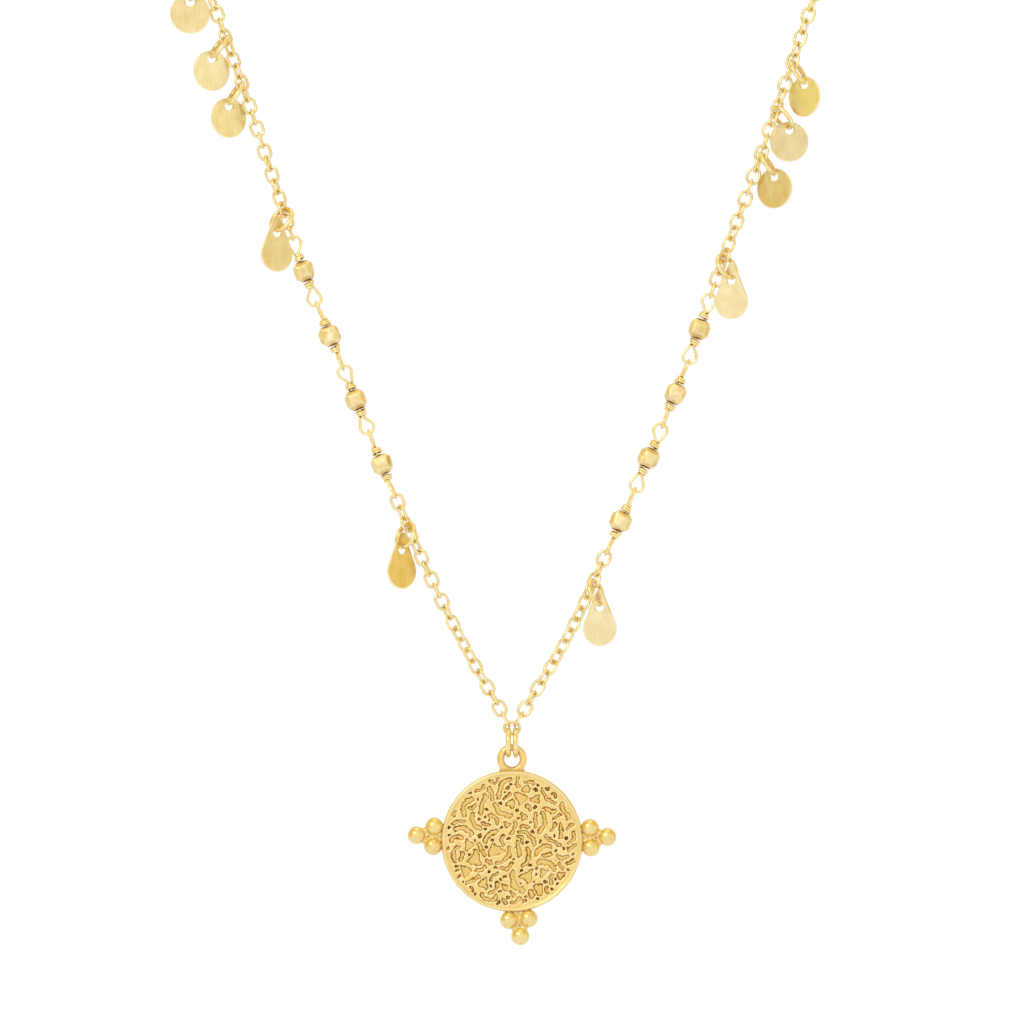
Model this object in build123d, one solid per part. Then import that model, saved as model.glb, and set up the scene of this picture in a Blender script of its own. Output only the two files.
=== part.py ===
from build123d import *
import math
import os
import random

os.makedirs("parts", exist_ok=True)

# A gold-plated necklace that hangs as it is worn, in millimetres.
# The origin is at the nape, X to the wearer's left as seen from the front, -Y to the front, Z up.

# Cable chain
link_wire = 0.42
link_gap = 0.11
link_pitch = 1.82
link_width = 2.20
loop_corners = 10
wire_sides = 5

# Beads and their wires
bead_length = 3.1
bead_width = 3.0
bead_facet = 0.72
bead_hole = 0.9
eye_wire = 0.45
eye_width = 2.5
eye_reach = 5.48
wrap_count = 3
wrap_pitch = 0.42
wrap_width = 1.49
wrap_clearance = 0.06

# Jump rings
ring_outer = 4.5
ring_wire = 0.65
ring_clearance = 0.08
pendant_ring_spacing = 1.05

# Brushed drops
plate_thickness = 0.35
plate_hole = 1.4
disc_diameter = 6.0
disc_hole_edge = 1.2
teardrop_width = 5.2
teardrop_length = 8.5
teardrop_tip = 0.55
teardrop_hole_tip = 2.6

# Medallion
medallion_diameter = 21.2
medallion_thickness = 1.3
rim_width = 0.45
rim_height = 0.14
rim_round = 0.35
mark_depth = 0.22
mark_gap = 0.25
mark_margin = 0.32
largest_mark = 3.5
bail_outer = 4.5
bail_wire = 1.1
bail_rise = 12.3
bail_foot_width = 4.2
granule_diameter = 2.76
granule_spacing = 2.95
granule_bite = 0.12
granule_outward = 2.55
solder_neck = 1.1
granule_angles = [2.5, 176.5, -85.0]

# Sunk marks in batches, the large ones first. Columns: kind, most of them, length and breadth.
mark_batches = [
    ("wedge", 8, 1.7, 0.50),
    ("bean", 16, 2.6, 0.66),
    ("bar", 8, 2.3, 0.62),
    ("wedge", 9, 1.0, 0.46),
    ("bean", 44, 1.5, 0.60),
    ("bar", 30, 1.0, 0.54),
    ("bean", 40, 0.8, 0.50),
    ("dot", 120, 0.0, 0.50),
]

# Hidden stretch and clasp
nape_tube = 2.0
joint_gap = 0.2
clasp_length = 9.0
clasp_diameter = 3.2
clasp_eye_wire = 0.6
clasp_eye_outer = 2.6

# Route of the chain, up from the centre link that carries the pendant to the nape, chosen by hand.
# Columns: distance from the middle on the left and on the right, depth and height.
chain_route = [
    (0.0, 0.0, -91.0, -154.2),
    (7.7, 8.3, -91.0, -141.0),
    (13.5, 13.7, -91.0, -129.0),
    (19.5, 20.1, -91.0, -114.7),
    (25.1, 25.9, -91.0, -100.8),
    (30.9, 30.7, -91.0, -86.7),
    (35.3, 35.5, -91.0, -73.5),
    (39.6, 40.2, -91.0, -60.0),
    (44.6, 44.8, -91.0, -46.0),
    (49.6, 49.6, -89.6, -33.0),
    (54.0, 54.0, -83.5, -22.5),
    (56.8, 56.8, -72.0, -15.0),
    (57.4, 57.4, -57.5, -10.0),
    (55.2, 55.2, -42.5, -6.4),
    (49.2, 49.2, -28.5, -3.9),
    (39.4, 39.4, -16.6, -2.2),
    (26.8, 26.8, -7.4, -0.9),
    (12.6, 12.6, -1.4, -0.2),
]

# The wires of the first links pass through the centre link at this angle above level
centre_bend_angle = 75.0

# Links on each strand: below the beads and above them, up to the hidden stretch
lower_link_count = {"left": 21, "right": 16}
upper_link_count = {"left": 48, "right": 53}
bead_count = 4
SIDES = {"left": -1, "right": 1}

# Drops. Columns: name, strand, part of the strand, link, degrees that the ring leans outwards
# and to the front, and degrees that the plate is turned.
drops = [
    ("teardrop_left_lower", "left", "lower", 18, 6, 28, 38),
    ("teardrop_right_lower", "right", "lower", 13, 10, 22, -18),
    ("teardrop_left_upper", "left", "upper", 2, 8, 36, 30),
    ("teardrop_right_upper", "right", "upper", 3, 10, 32, -22),
    ("disc_left_3", "left", "upper", 13, 30, 20, 34),
    ("disc_left_2", "left", "upper", 17, 32, 28, 31),
    ("disc_left_1", "left", "upper", 22, 34, 30, 0),
    ("disc_right_3", "right", "upper", 12, 30, 18, -34),
    ("disc_right_2", "right", "upper", 16, 28, -34, 14),
    ("disc_right_1", "right", "upper", 20, 26, 22, -44),
]

# Places where a strand is seen twisted. Columns: strand, part, link, degrees.
twists = [
    ("left", "lower", 7, 45),
    ("right", "lower", 6, 45),
]

# Values worked out from the sizes above
link_length = link_pitch + 2 * link_wire + link_gap
link_half = (link_length - link_wire) / 2
loop_radius = (link_width - link_wire) / 2
link_hole = link_width / 2 - link_wire
link_eye_lap = (link_wire + eye_wire) / 2 + link_gap
bead_pitch = 2 * eye_reach - eye_wire - link_gap
ring_radius = (ring_outer - ring_wire) / 2
plate_drop = plate_hole / 2 - ring_wire / 2 - ring_clearance
bail_hole = bail_outer / 2 - bail_wire
bail_radius = (bail_outer - bail_wire) / 2
front_depth = chain_route[0][2]
centre_height = chain_route[0][3]
UP = Vector(0, 0, 1)
FRONT = Vector(0, -1, 0)
ACROSS = Vector(1, 0, 0)


def save(node, solids):
    """Write the solids of one node to its STEP file."""
    solids = list(solids)
    whole = solids[0] if len(solids) == 1 else Compound(children=solids)
    export_step(whole, f"parts/{node}.step")


def joined(shapes):
    """Fuse shapes into one solid."""
    whole = shapes[0].fuse(*shapes[1:])
    return whole.solids()[0]


def placed(solid, origin, along, normal):
    """Copy a solid so that its X lies along one direction and its Z along another."""
    return solid.located(Plane(origin=origin, x_dir=along, z_dir=normal).location)


def rounded_path(points):
    """Straight runs joined by tangent arcs, each as large as its two runs allow."""
    edges = []
    radii = []
    start = points[0]
    for before, corner, after in zip(points, points[1:], points[2:]):
        back = (before - corner).normalized()
        ahead = (after - corner).normalized()
        cut = 0.45 * min((before - corner).length, (after - corner).length)
        half_turn = math.radians(180 - back.get_angle(ahead)) / 2
        radius = cut / math.tan(half_turn)
        enter = corner + back * cut
        leave = corner + ahead * cut
        inward = (back + ahead).normalized()
        middle = corner + inward * (radius / math.cos(half_turn) - radius)
        edges.append(Edge.make_line(start, enter))
        edges.append(Edge.make_three_point_arc(enter, middle, leave))
        radii.append(radius)
        start = leave
    edges.append(Edge.make_line(start, points[-1]))
    return Wire(edges), radii


def strand_points(side):
    """The route's points on one side, from the centre link's bend to the clasp."""
    sign = SIDES[side]
    column = 0 if side == "left" else 1
    points = [centre_bend(sign)]
    for row in chain_route[1:]:
        points.append(Vector(sign * row[column], row[2], row[3]))
    points.append(Vector(sign * (clasp_reach() + joint_gap), 0, 0))
    return points


def centre_bend(sign):
    """Where the wire of the first link passes through the centre link."""
    angle = math.radians(centre_bend_angle)
    reach = link_hole - link_wire / 2 - link_gap
    middle = (link_length - link_width) / 2
    return Vector(
        sign * (middle + reach * math.cos(angle)),
        front_depth,
        centre_height + reach * math.sin(angle),
    )


def clasp_reach():
    """Half the length of the clasp with its eyes."""
    return clasp_length / 2 + clasp_eye_outer - clasp_eye_wire


def outward(tangent, sign):
    """The level direction away from the neck, square to the chain."""
    return (tangent.cross(UP) * sign).normalized()


def rolled(tangent, sign, degrees):
    """The outward direction turned about the chain."""
    base = outward(tangent, sign)
    turn = math.radians(degrees)
    return base * math.cos(turn) + tangent.cross(base) * math.sin(turn)


def hang_direction(sign, outwards, forwards):
    """From a link to the centre of the jump ring that hangs in it."""
    lean = math.tan(math.radians(outwards))
    fore = math.tan(math.radians(forwards))
    return Vector(sign * lean, -fore, -1).normalized()


def nearest_turn(degrees, reference):
    """The angle that is nearest to a reference, as a link looks alike from both faces."""
    return degrees - 180 * round((degrees - reference) / 180)


def link_rolls(side, part, stations, path, count):
    """Roll of each link: neighbours stand square, and the strand twists where drops need it."""
    sign = SIDES[side]
    anchors = [(0, 0.0)]
    wanted = {}
    for row_side, row_part, link, degrees in twists:
        if (row_side, row_part) == (side, part):
            wanted[link] = degrees
    for name, row_side, row_part, link, outwards, forwards, turn in drops:
        if (row_side, row_part) == (side, part):
            tangent = path.tangent_at(stations[link], position_mode=PositionMode.LENGTH)
            normal = tangent.cross(hang_direction(sign, outwards, forwards)).normalized()
            base = outward(tangent, sign)
            wanted[link] = math.degrees(math.atan2(normal.dot(tangent.cross(base)), normal.dot(base)))
    for link in sorted(wanted):
        offset = wanted[link] - 90 * (link + 1)
        anchors.append((link, nearest_turn(offset, anchors[-1][1])))
    last = count - 1
    if part == "lower":
        anchors.append((last, nearest_turn(-90 * count, anchors[-1][1])))
    else:
        anchors.append((last, anchors[-1][1]))
    rolls = []
    for link in range(count):
        for (low, low_turn), (high, high_turn) in zip(anchors, anchors[1:]):
            if low <= link <= high:
                share = (link - low) / max(high - low, 1)
                rolls.append(90 * (link + 1) + low_turn + share * (high_turn - low_turn))
                break
    return rolls


def faceted_link():
    """One link in flat faces, with its long axis on X and its hole along Z."""
    middle = (link_length - link_width) / 2
    steps = loop_corners // 2 - 1
    corners = []
    for end, start in ((1, -90), (-1, 90)):
        for step in range(steps + 1):
            angle = math.radians(start + 180 * step / steps)
            corners.append(Vector(
                end * middle + loop_radius * math.cos(angle),
                loop_radius * math.sin(angle),
                0,
            ))
    sections = []
    for index, corner in enumerate(corners):
        before = (corner - corners[index - 1]).normalized()
        after = (corners[(index + 1) % len(corners)] - corner).normalized()
        along = (before + after).normalized()
        out = Vector(along.Y, -along.X, 0)
        mitre = 1 / math.cos(math.radians(before.get_angle(after)) / 2)
        ring = []
        for side in range(wire_sides):
            angle = math.radians(360 * side / wire_sides)
            ring.append(
                corner
                + out * (mitre * link_wire / 2 * math.cos(angle))
                + UP * (link_wire / 2 * math.sin(angle))
            )
        sections.append(ring)
    faces = []
    for index, ring in enumerate(sections):
        following = sections[(index + 1) % len(sections)]
        for side in range(wire_sides):
            other = (side + 1) % wire_sides
            quad = [ring[side], following[side], following[other], ring[other]]
            faces.append(Face(Wire.make_polygon(quad, close=True)))
    return Solid(Shell(faces))


def bead():
    """A nugget bead: a cube with its edges and corners cut off, drilled along X."""
    block = Box(bead_length, bead_width, bead_width)
    block = chamfer(block.edges(), bead_facet)
    drill = Cylinder(bead_hole / 2, 2 * bead_length, rotation=(0, 90, 0))
    return (block - drill).solids()[0]


def bead_wire():
    """The wire through a bead, wrapped at both ends below a teardrop eye."""
    eye_radius = (eye_width - eye_wire) / 2
    eye_centre = eye_reach - eye_radius
    wrap_start = bead_length / 2 + wrap_clearance
    wrap_radius = (wrap_width - eye_wire) / 2
    wrap_end = wrap_start + (wrap_count - 1) * wrap_pitch + eye_wire
    stem = wrap_end - eye_wire / 2
    span = eye_centre - stem
    lean = math.degrees(math.asin(eye_radius / span))
    tangent_length = span * math.cos(math.radians(lean))
    touch = Vector(eye_centre - eye_radius * math.sin(math.radians(lean)), 0, 0)
    touch += Vector(0, eye_radius * math.cos(math.radians(lean)), 0)
    pieces = [Cylinder(eye_wire / 2, 2 * stem, rotation=(0, 90, 0))]
    for end in (1, -1):
        turned = Rot(0, 0, 0 if end == 1 else 180)
        collar = Cylinder(wrap_radius, wrap_end - wrap_start, rotation=(0, 90, 0))
        pieces.append(turned * Pos((wrap_start + wrap_end) / 2, 0, 0) * collar)
        for wrap in range(wrap_count):
            coil = Torus(wrap_radius, eye_wire / 2, rotation=(0, 90, 0))
            place = wrap_start + eye_wire / 2 + wrap * wrap_pitch
            pieces.append(turned * Pos(place, 0, 0) * coil)
        section = Plane(origin=touch, x_dir=UP, z_dir=Vector(*direction(lean)))
        bend = revolve(
            section * Circle(eye_wire / 2),
            axis=Axis((eye_centre, 0, 0), (0, 0, -1)),
            revolution_arc=180 + 2 * lean,
        )
        pieces.append(turned * bend)
        for leg in (1, -1):
            rod = Cylinder(eye_wire / 2, tangent_length, rotation=(0, 90, 0))
            rod = Pos(stem, 0, 0) * Rot(0, 0, leg * lean) * Pos(tangent_length / 2, 0, 0) * rod
            pieces.append(turned * rod)
    return joined(pieces)


def direction(degrees):
    """A direction in the XY plane at an angle from X."""
    return math.cos(math.radians(degrees)), math.sin(math.radians(degrees)), 0.0


def jump_ring():
    """A round ring with its hole along Z."""
    return Torus(ring_radius, ring_wire / 2).solids()[0]


def disc_plate():
    """A round plate, with its hole's centre at the origin and its face along Z."""
    below = disc_diameter / 2 - disc_hole_edge
    plate = Pos(0, -below, 0) * Cylinder(disc_diameter / 2, plate_thickness)
    return (plate - Cylinder(plate_hole / 2, 2 * plate_thickness)).solids()[0]


def teardrop_plate():
    """A drop-shaped plate, with its hole's centre at the origin and its face along Z."""
    tip_centre = teardrop_hole_tip - teardrop_tip
    round_centre = teardrop_hole_tip - teardrop_length + teardrop_width / 2
    outline = make_hull([
        Edge.make_circle(teardrop_tip, Plane(origin=(0, tip_centre, 0))),
        Edge.make_circle(teardrop_width / 2, Plane(origin=(0, round_centre, 0))),
    ])
    plate = extrude(outline, plate_thickness / 2, both=True)
    return (plate - Cylinder(plate_hole / 2, 2 * plate_thickness)).solids()[0]


def strand(side):
    """Lay the links, bead units and drop carriers of one side along its route."""
    sign = SIDES[side]
    path, radii = rounded_path(strand_points(side))
    print(side, "route", round(path.length, 1), "mm, least radius", round(min(radii), 1), "mm")
    lower = [link_half + link * link_pitch for link in range(lower_link_count[side])]
    first_unit = lower[-1] + link_half - link_eye_lap + eye_reach
    units = [first_unit + bead * bead_pitch for bead in range(bead_count)]
    first_upper = units[-1] + eye_reach - link_eye_lap + link_half
    upper = [first_upper + link * link_pitch for link in range(upper_link_count[side])]
    result = {"path": path, "sign": sign, "units": []}
    for part, stations in (("lower", lower), ("upper", upper)):
        rolls = link_rolls(side, part, stations, path, len(stations))
        result[part] = []
        for station, roll in zip(stations, rolls):
            centre = path.position_at(station, position_mode=PositionMode.LENGTH)
            tangent = path.tangent_at(station, position_mode=PositionMode.LENGTH)
            result[part].append((centre, tangent, rolled(tangent, sign, roll)))
    for index, station in enumerate(units):
        centre = path.position_at(station, position_mode=PositionMode.LENGTH)
        tangent = path.tangent_at(station, position_mode=PositionMode.LENGTH)
        result["units"].append((centre, tangent, rolled(tangent, sign, 90 * (index + 1))))
    result["end"] = upper[-1] + link_half + link_wire / 2 + joint_gap
    return result


def nape_stretch(laid):
    """The hidden stretch of one side, as a tube along the rest of its route."""
    path = laid["path"]
    hidden = path.trim(laid["end"] / path.length, 1.0)
    start = Plane(origin=hidden.position_at(0), z_dir=hidden.tangent_at(0))
    tube = sweep(start * Circle(nape_tube / 2), path=hidden)
    expected = math.pi * nape_tube ** 2 / 4 * hidden.length
    print("nape stretch", round(hidden.length, 1), "mm, volume", round(tube.volume / expected, 4))
    return tube.solids()[0]


def clasp():
    """A plain barrel across the nape, with an eye on each end."""
    barrel = Cylinder(clasp_diameter / 2, clasp_length, rotation=(0, 90, 0))
    barrel = fillet(barrel.edges(), clasp_diameter / 4)
    pieces = [barrel]
    eye_radius = (clasp_eye_outer - clasp_eye_wire) / 2
    for sign in (-1, 1):
        place = sign * (clasp_reach() - clasp_eye_outer / 2)
        pieces.append(Pos(place, 0, 0) * Torus(eye_radius, clasp_eye_wire / 2, rotation=(90, 0, 0)))
    return joined(pieces)


def field_marks():
    """The sunk marks, thrown at random and kept where they leave their neighbours room.

    A mark is its kind, length, breadth, bend, place and turn. None is in any script or picture.
    """
    chance = random.Random(23)
    reach = medallion_diameter / 2 - rim_width - mark_margin
    kept = []
    for kind, count, length, breadth in mark_batches:
        missing = count
        for _ in range(160 * count):
            size = length * chance.uniform(0.8, 1.2)
            wide = breadth * chance.uniform(0.8, 1.2)
            lean = chance.uniform(-1, 1)
            bend = math.copysign(size * (0.12 + 0.18 * abs(lean)), lean)
            away = reach * math.sqrt(chance.random())
            around = chance.uniform(0, 2 * math.pi)
            turn = chance.uniform(0, 2 * math.pi)
            mark = (kind, size, wide, bend, away * math.cos(around), away * math.sin(around), turn)
            points = points_along(mark)
            edge = max(math.hypot(*point) for point in points) + wide / 2
            if edge < reach and clear_of(points, wide, kept):
                kept.append((mark, points))
                missing -= 1
            if missing == 0:
                break
    return [mark for mark, points in kept]


def clear_of(points, wide, kept):
    """Whether a new mark leaves a wall between it and each mark that is kept."""
    for mark, others in kept:
        room = (wide + mark[2]) / 2 + mark_gap
        if math.dist(points[0], others[0]) < room + largest_mark:
            if min(math.dist(p, q) for p in points for q in others) < room:
                return False
    return True


def points_along(mark):
    """Points close together along the middle line of a mark, or round the core of a wedge."""
    kind, size, wide, bend, x, y, turn = mark
    if kind == "dot":
        local = [(0.0, 0.0)]
    elif kind == "bar":
        local = [(size * share, 0.0) for share in (0, -0.5, -0.25, 0.25, 0.5)]
    elif kind == "bean":
        radius, half = bean_arc(size, bend)
        side = math.copysign(1, bend)
        local = []
        for share in (0, -1, -0.66, -0.33, 0.33, 0.66, 1):
            angle = share * half
            local.append((radius * math.sin(angle), bend - side * radius * (1 - math.cos(angle))))
    else:
        corners = wedge_corners(size, bend)
        local = list(corners)
        for (ax, ay), (bx, by) in zip(corners, corners[1:] + corners[:1]):
            for share in (0.33, 0.67):
                local.append((ax + share * (bx - ax), ay + share * (by - ay)))
    cosine = math.cos(turn)
    sine = math.sin(turn)
    return [(x + a * cosine - b * sine, y + a * sine + b * cosine) for a, b in local]


def bean_arc(size, bend):
    """Radius and half angle of the arc that a bean follows."""
    radius = size ** 2 / (8 * abs(bend)) + abs(bend) / 2
    return radius, math.asin(size / 2 / radius)


def wedge_corners(size, bend):
    """Corners of the core of a wedge."""
    return [(-size / 2, -0.3 * size), (size / 2, -0.3 * size), (bend, 0.45 * size)]


def mark_outline(mark):
    """The flat outline of one mark."""
    kind, size, wide, bend, x, y, turn = mark
    place = Pos(x, y) * Rot(0, 0, math.degrees(turn))
    if kind == "dot":
        return place * Circle(wide / 2)
    if kind == "bar":
        return place * SlotCenterToCenter(size, wide)
    if kind == "bean":
        return place * SlotArc(ThreePointArc((-size / 2, 0), (0, bend), (size / 2, 0)), wide)
    rounds = []
    for a, b in wedge_corners(size, bend):
        rounds.append(Edge.make_circle(wide / 2, Plane(origin=(a, b, 0))))
    return place * make_hull(rounds)


def medallion():
    """The soldered pendant: disc, rim, marks, bail and granules, facing along Z."""
    radius = medallion_diameter / 2
    back = -medallion_thickness / 2
    top = medallion_thickness / 2
    field = top - rim_height
    inner = radius - rim_width
    profile = Polyline(
        (0, back),
        (radius, back),
        (radius, top),
        (inner, top),
        (inner - rim_height, field),
        (0, field),
        close=True,
    )
    section = make_face(Plane.XZ * profile)
    body = revolve(section, axis=Axis.Z)
    edge_ring = body.edges().filter_by(GeomType.CIRCLE).sort_by(SortBy.RADIUS)[-2:]
    body = fillet(edge_ring, rim_round)
    pockets = []
    for mark in field_marks():
        pockets.append(extrude(Pos(0, 0, field - mark_depth) * mark_outline(mark), 2 * mark_depth))
    body = body - pockets
    pieces = [body] + bail_pieces(radius)
    for angle in granule_angles:
        pieces += [Rot(0, 0, angle) * piece for piece in granule_cluster(radius)]
    return joined(pieces)


def bail_pieces(radius):
    """The loop on top and the flared foot that joins it to the disc."""
    loop = Pos(0, bail_rise, 0) * Torus(bail_radius, bail_wire / 2)
    foot_top = bail_rise - bail_hole / 2
    foot = Polyline(
        (-bail_foot_width / 2, radius - bail_wire),
        (bail_foot_width / 2, radius - bail_wire),
        (bail_radius, foot_top),
        (-bail_radius, foot_top),
        close=True,
    )
    foot = extrude(make_face(foot), 0.4 * bail_wire, both=True)
    foot = foot - Pos(0, bail_rise, 0) * Cylinder(bail_radius, 2 * bail_wire)
    return [loop, foot]


def granule_cluster(radius):
    """Two balls soldered to the disc's edge at angle 0 and a third beyond them."""
    across = granule_spacing / 2
    close = radius + granule_diameter / 2 - granule_bite
    out = math.sqrt(close ** 2 - across ** 2)
    spots = [Vector(out, -across, 0), Vector(out, across, 0), Vector(out + granule_outward, 0, 0)]
    pieces = [Pos(spot) * Sphere(granule_diameter / 2) for spot in spots]
    for first, second in ((0, 1), (1, 2), (2, 0)):
        pieces.append(rod_between(spots[first], spots[second], solder_neck))
    for spot in spots[:2]:
        root = spot.normalized() * (radius - rim_width / 2)
        pieces.append(rod_between(spot, root, solder_neck))
    return pieces


def rod_between(start, end, diameter):
    """A round rod from one point to another."""
    span = end - start
    plane = Plane(origin=start, z_dir=span)
    return extrude(plane * Circle(diameter / 2), span.length)


def drop_places(name, side, carrier, outwards, forwards, turn):
    """Place of a drop's jump ring and plate below the link that carries them."""
    sign = SIDES[side]
    centre, tangent, normal = carrier
    hang = hang_direction(sign, outwards, forwards)
    pass_through = tangent.cross(hang).normalized()
    ring_normal = pass_through.cross(hang).normalized()
    ring_centre = centre + hang * ring_radius
    lowest = UP * -1 + ring_normal * ring_normal.dot(UP)
    contact = ring_centre + lowest.normalized() * ring_radius
    hole = contact - UP * plate_drop
    facing = Vector(math.sin(math.radians(turn)), -math.cos(math.radians(turn)), 0)
    return ring_centre, ring_normal, hang, hole, facing


def main():
    """Build every node and write its file."""
    link = faceted_link()
    bead_solid = bead()
    wire_solid = bead_wire()
    ring_solid = jump_ring()
    plates = {"disc": disc_plate(), "teardrop": teardrop_plate()}
    laid = {side: strand(side) for side in SIDES}

    centre = Vector(0, front_depth, centre_height)
    lower = [placed(link, centre, ACROSS, FRONT)]
    for side in SIDES:
        lower += [placed(link, *spot) for spot in laid[side]["lower"]]
        save(f"chain_upper_{side}", [placed(link, *spot) for spot in laid[side]["upper"]])
        save(f"chain_nape_{side}", [nape_stretch(laid[side])])
        for index, spot in enumerate(laid[side]["units"], start=1):
            save(f"bead_{side}_{index}", [placed(bead_solid, *spot)])
            save(f"wire_{side}_{index}", [placed(wire_solid, *spot)])
    save("chain_lower", lower)
    save("clasp", [clasp()])

    for name, side, part, number, outwards, forwards, turn in drops:
        carrier = laid[side][part][number]
        place = drop_places(name, side, carrier, outwards, forwards, turn)
        ring_centre, ring_normal, hang, hole, facing = place
        save(f"ring_{name}", [placed(ring_solid, ring_centre, hang, ring_normal)])
        level = UP.cross(facing)
        save(name, [placed(plates[name.split("_")[0]], hole, level, facing)])

    ring_top = centre_height - link_hole + ring_clearance + ring_wire / 2
    ring_height = ring_top - ring_radius
    for side, sign in SIDES.items():
        spot = Vector(sign * pendant_ring_spacing / 2, front_depth, ring_height)
        save(f"pendant_ring_{side}", [placed(ring_solid, spot, UP, ACROSS)])
    seat = bail_hole - ring_wire / 2 - ring_clearance
    bail_height = ring_height - ring_radius
    bail_height -= math.sqrt(seat ** 2 - (pendant_ring_spacing / 2) ** 2)
    disc_centre = Vector(0, front_depth, bail_height - bail_rise)
    save("medallion", [placed(medallion(), disc_centre, ACROSS, FRONT)])
    print("rings turn about height", round(ring_height, 3), "and the bail about", round(bail_height, 3))


main()
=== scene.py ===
# %% [markdown]
# # A gold-plated necklace with a medallion, nugget beads and hanging plates
#
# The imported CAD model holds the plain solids, each in its place. This lesson dresses them one by
# one: links laid by Geometry Nodes, wires that are really wound, blasted nuggets, brushed plates
# and a worn medallion. A dressed piece could be made anywhere and then moved, but each is built
# on the solid that it stands for, so that it fits and swings as that solid does.

# %% Load the frame
import bpy
import bmesh
import itertools
import math
import random
import numpy as np
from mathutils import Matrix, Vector


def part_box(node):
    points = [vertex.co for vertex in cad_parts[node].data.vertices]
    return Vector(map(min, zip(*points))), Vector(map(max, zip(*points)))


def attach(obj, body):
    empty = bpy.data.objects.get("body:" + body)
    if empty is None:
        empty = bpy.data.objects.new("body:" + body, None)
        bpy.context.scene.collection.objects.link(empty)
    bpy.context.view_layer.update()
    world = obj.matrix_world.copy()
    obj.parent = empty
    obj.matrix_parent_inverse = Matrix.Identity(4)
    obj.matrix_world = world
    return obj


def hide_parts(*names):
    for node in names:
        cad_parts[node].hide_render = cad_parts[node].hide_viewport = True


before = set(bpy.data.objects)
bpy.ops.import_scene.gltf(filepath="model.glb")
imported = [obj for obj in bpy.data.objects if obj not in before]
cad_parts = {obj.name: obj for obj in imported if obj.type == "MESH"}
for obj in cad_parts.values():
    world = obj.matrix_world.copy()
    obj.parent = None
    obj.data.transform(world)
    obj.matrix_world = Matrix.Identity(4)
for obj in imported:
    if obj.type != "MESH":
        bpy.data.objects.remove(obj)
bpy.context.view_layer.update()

# %% [markdown]
# ## Where everything is
#
# A CAD node can hold many loose solids, as a chain holds its links. Their places could be written
# down a second time here, but reading them from the frame keeps both models together. A node is
# split into its solids, and the spread of a solid's corners gives its long, middle and thin
# directions, which is all that a link, a ring or a wire needs.
#
# Jewellery is measured in millimetres and Blender works in metres. All sizes below are
# millimetres, and they are changed at the very end, where a mesh is made.

# %% Read places from the frame
MM = 0.001
few_corners = 80


def loose_solids(node):
    """The corner points of each separate solid of a CAD node, in millimetres."""
    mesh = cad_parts[node].data
    points = np.array([v.co for v in mesh.vertices]) / MM
    unique, index = np.unique(np.round(points, 4), axis=0, return_inverse=True)
    index = index.reshape(-1)
    edges = np.array([[index[a], index[b]] for a, b in mesh.edge_keys])
    # Each corner takes its neighbours' lowest label until every solid has one label of its own.
    label = np.arange(len(unique))
    changed = True
    while changed:
        low = np.minimum(label[edges[:, 0]], label[edges[:, 1]])
        before = label.copy()
        np.minimum.at(label, edges[:, 0], low)
        np.minimum.at(label, edges[:, 1], low)
        label = label[label]
        changed = bool((label != before).any())
    return [unique[label == value] for value in np.unique(label)]


def axes_of(points):
    """Centre, long axis, middle axis and thin axis of a symmetric solid."""
    mean = points.mean(axis=0)
    # A link has few corners, evenly spread. A round solid has many, closer together at its seams.
    box_middle = (points.min(axis=0) + points.max(axis=0)) / 2
    centre = mean if len(points) < few_corners else box_middle
    vectors = np.linalg.eigh(np.cov((points - mean).T))[1]
    return centre, vectors[:, 2], vectors[:, 1], vectors[:, 0]


lower_links = [axes_of(solid) for solid in loose_solids("chain_lower")]
upper_links = {
    side: [axes_of(solid) for solid in loose_solids(f"chain_upper_{side}")]
    for side in ("left", "right")
}
print("links:", len(lower_links), {side: len(links) for side, links in upper_links.items()})

# %% [markdown]
# ## Finishes
#
# Every piece is brass under gold plate, so every finish is a metal and keeps Blender's own index
# of refraction. What differs is how the brass was worked before plating: drawn wire, blasted
# nuggets, brushed sheet, and a casting that was darkened and rubbed back. Pictures of such metal
# could be laid on the pieces. Patterns made by nodes are chosen instead, because they stay sharp
# from close by, and their scale is worked out from a real size in millimetres.
#
# Some sockets share a name, so they are given by number. On Map Range, 0 is the value, 1 and 2
# are the range it comes from, and 3 and 4 the range it goes to, which is 0 to 1 where they are
# left out. On Mix, 0 is the factor, and 6 and 7 are the two colours.

# %% Helpers for materials
def linear(code):
    """Linear colour from an sRGB hex value."""
    parts = [int(code[i:i + 2], 16) / 255 for i in (1, 3, 5)]
    return [p / 12.92 if p <= 0.04045 else ((p + 0.055) / 1.055) ** 2.4 for p in parts] + [1.0]


def feed(tree, node, inputs):
    """Give a node's inputs their values or links."""
    for socket, value in inputs.items():
        if isinstance(value, bpy.types.NodeSocket):
            tree.links.new(value, node.inputs[socket])
        else:
            node.inputs[socket].default_value = value


def add(tree, kind, inputs=None, out=0, **settings):
    """Add a node with its settings, values and links, and give one of its outputs."""
    node = tree.nodes.new(kind)
    for name, value in settings.items():
        setattr(node, name, value)
    feed(tree, node, inputs or {})
    return node.outputs[out] if node.outputs else node


def per_metre(size_mm, stretch=(1, 1, 1)):
    """Scale of a pattern with features of a real size, longer along an axis by its stretch."""
    return [1 / (size_mm * MM * axis) for axis in stretch]


def metal(name):
    """A new metallic material, its node tree, its shader and the place on the piece."""
    material = bpy.data.materials.new(name)
    material.use_nodes = True
    tree = material.node_tree
    shader = tree.nodes["Principled BSDF"]
    shader.inputs["Metallic"].default_value = 1.0
    return material, tree, shader, add(tree, "ShaderNodeTexCoord", out="Object")


noise = {"Scale": 1.0, "Detail": 3.0, "Roughness": 0.55}
print("sRGB #808080 is", round(linear("#808080")[0], 3), "in linear light")

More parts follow.
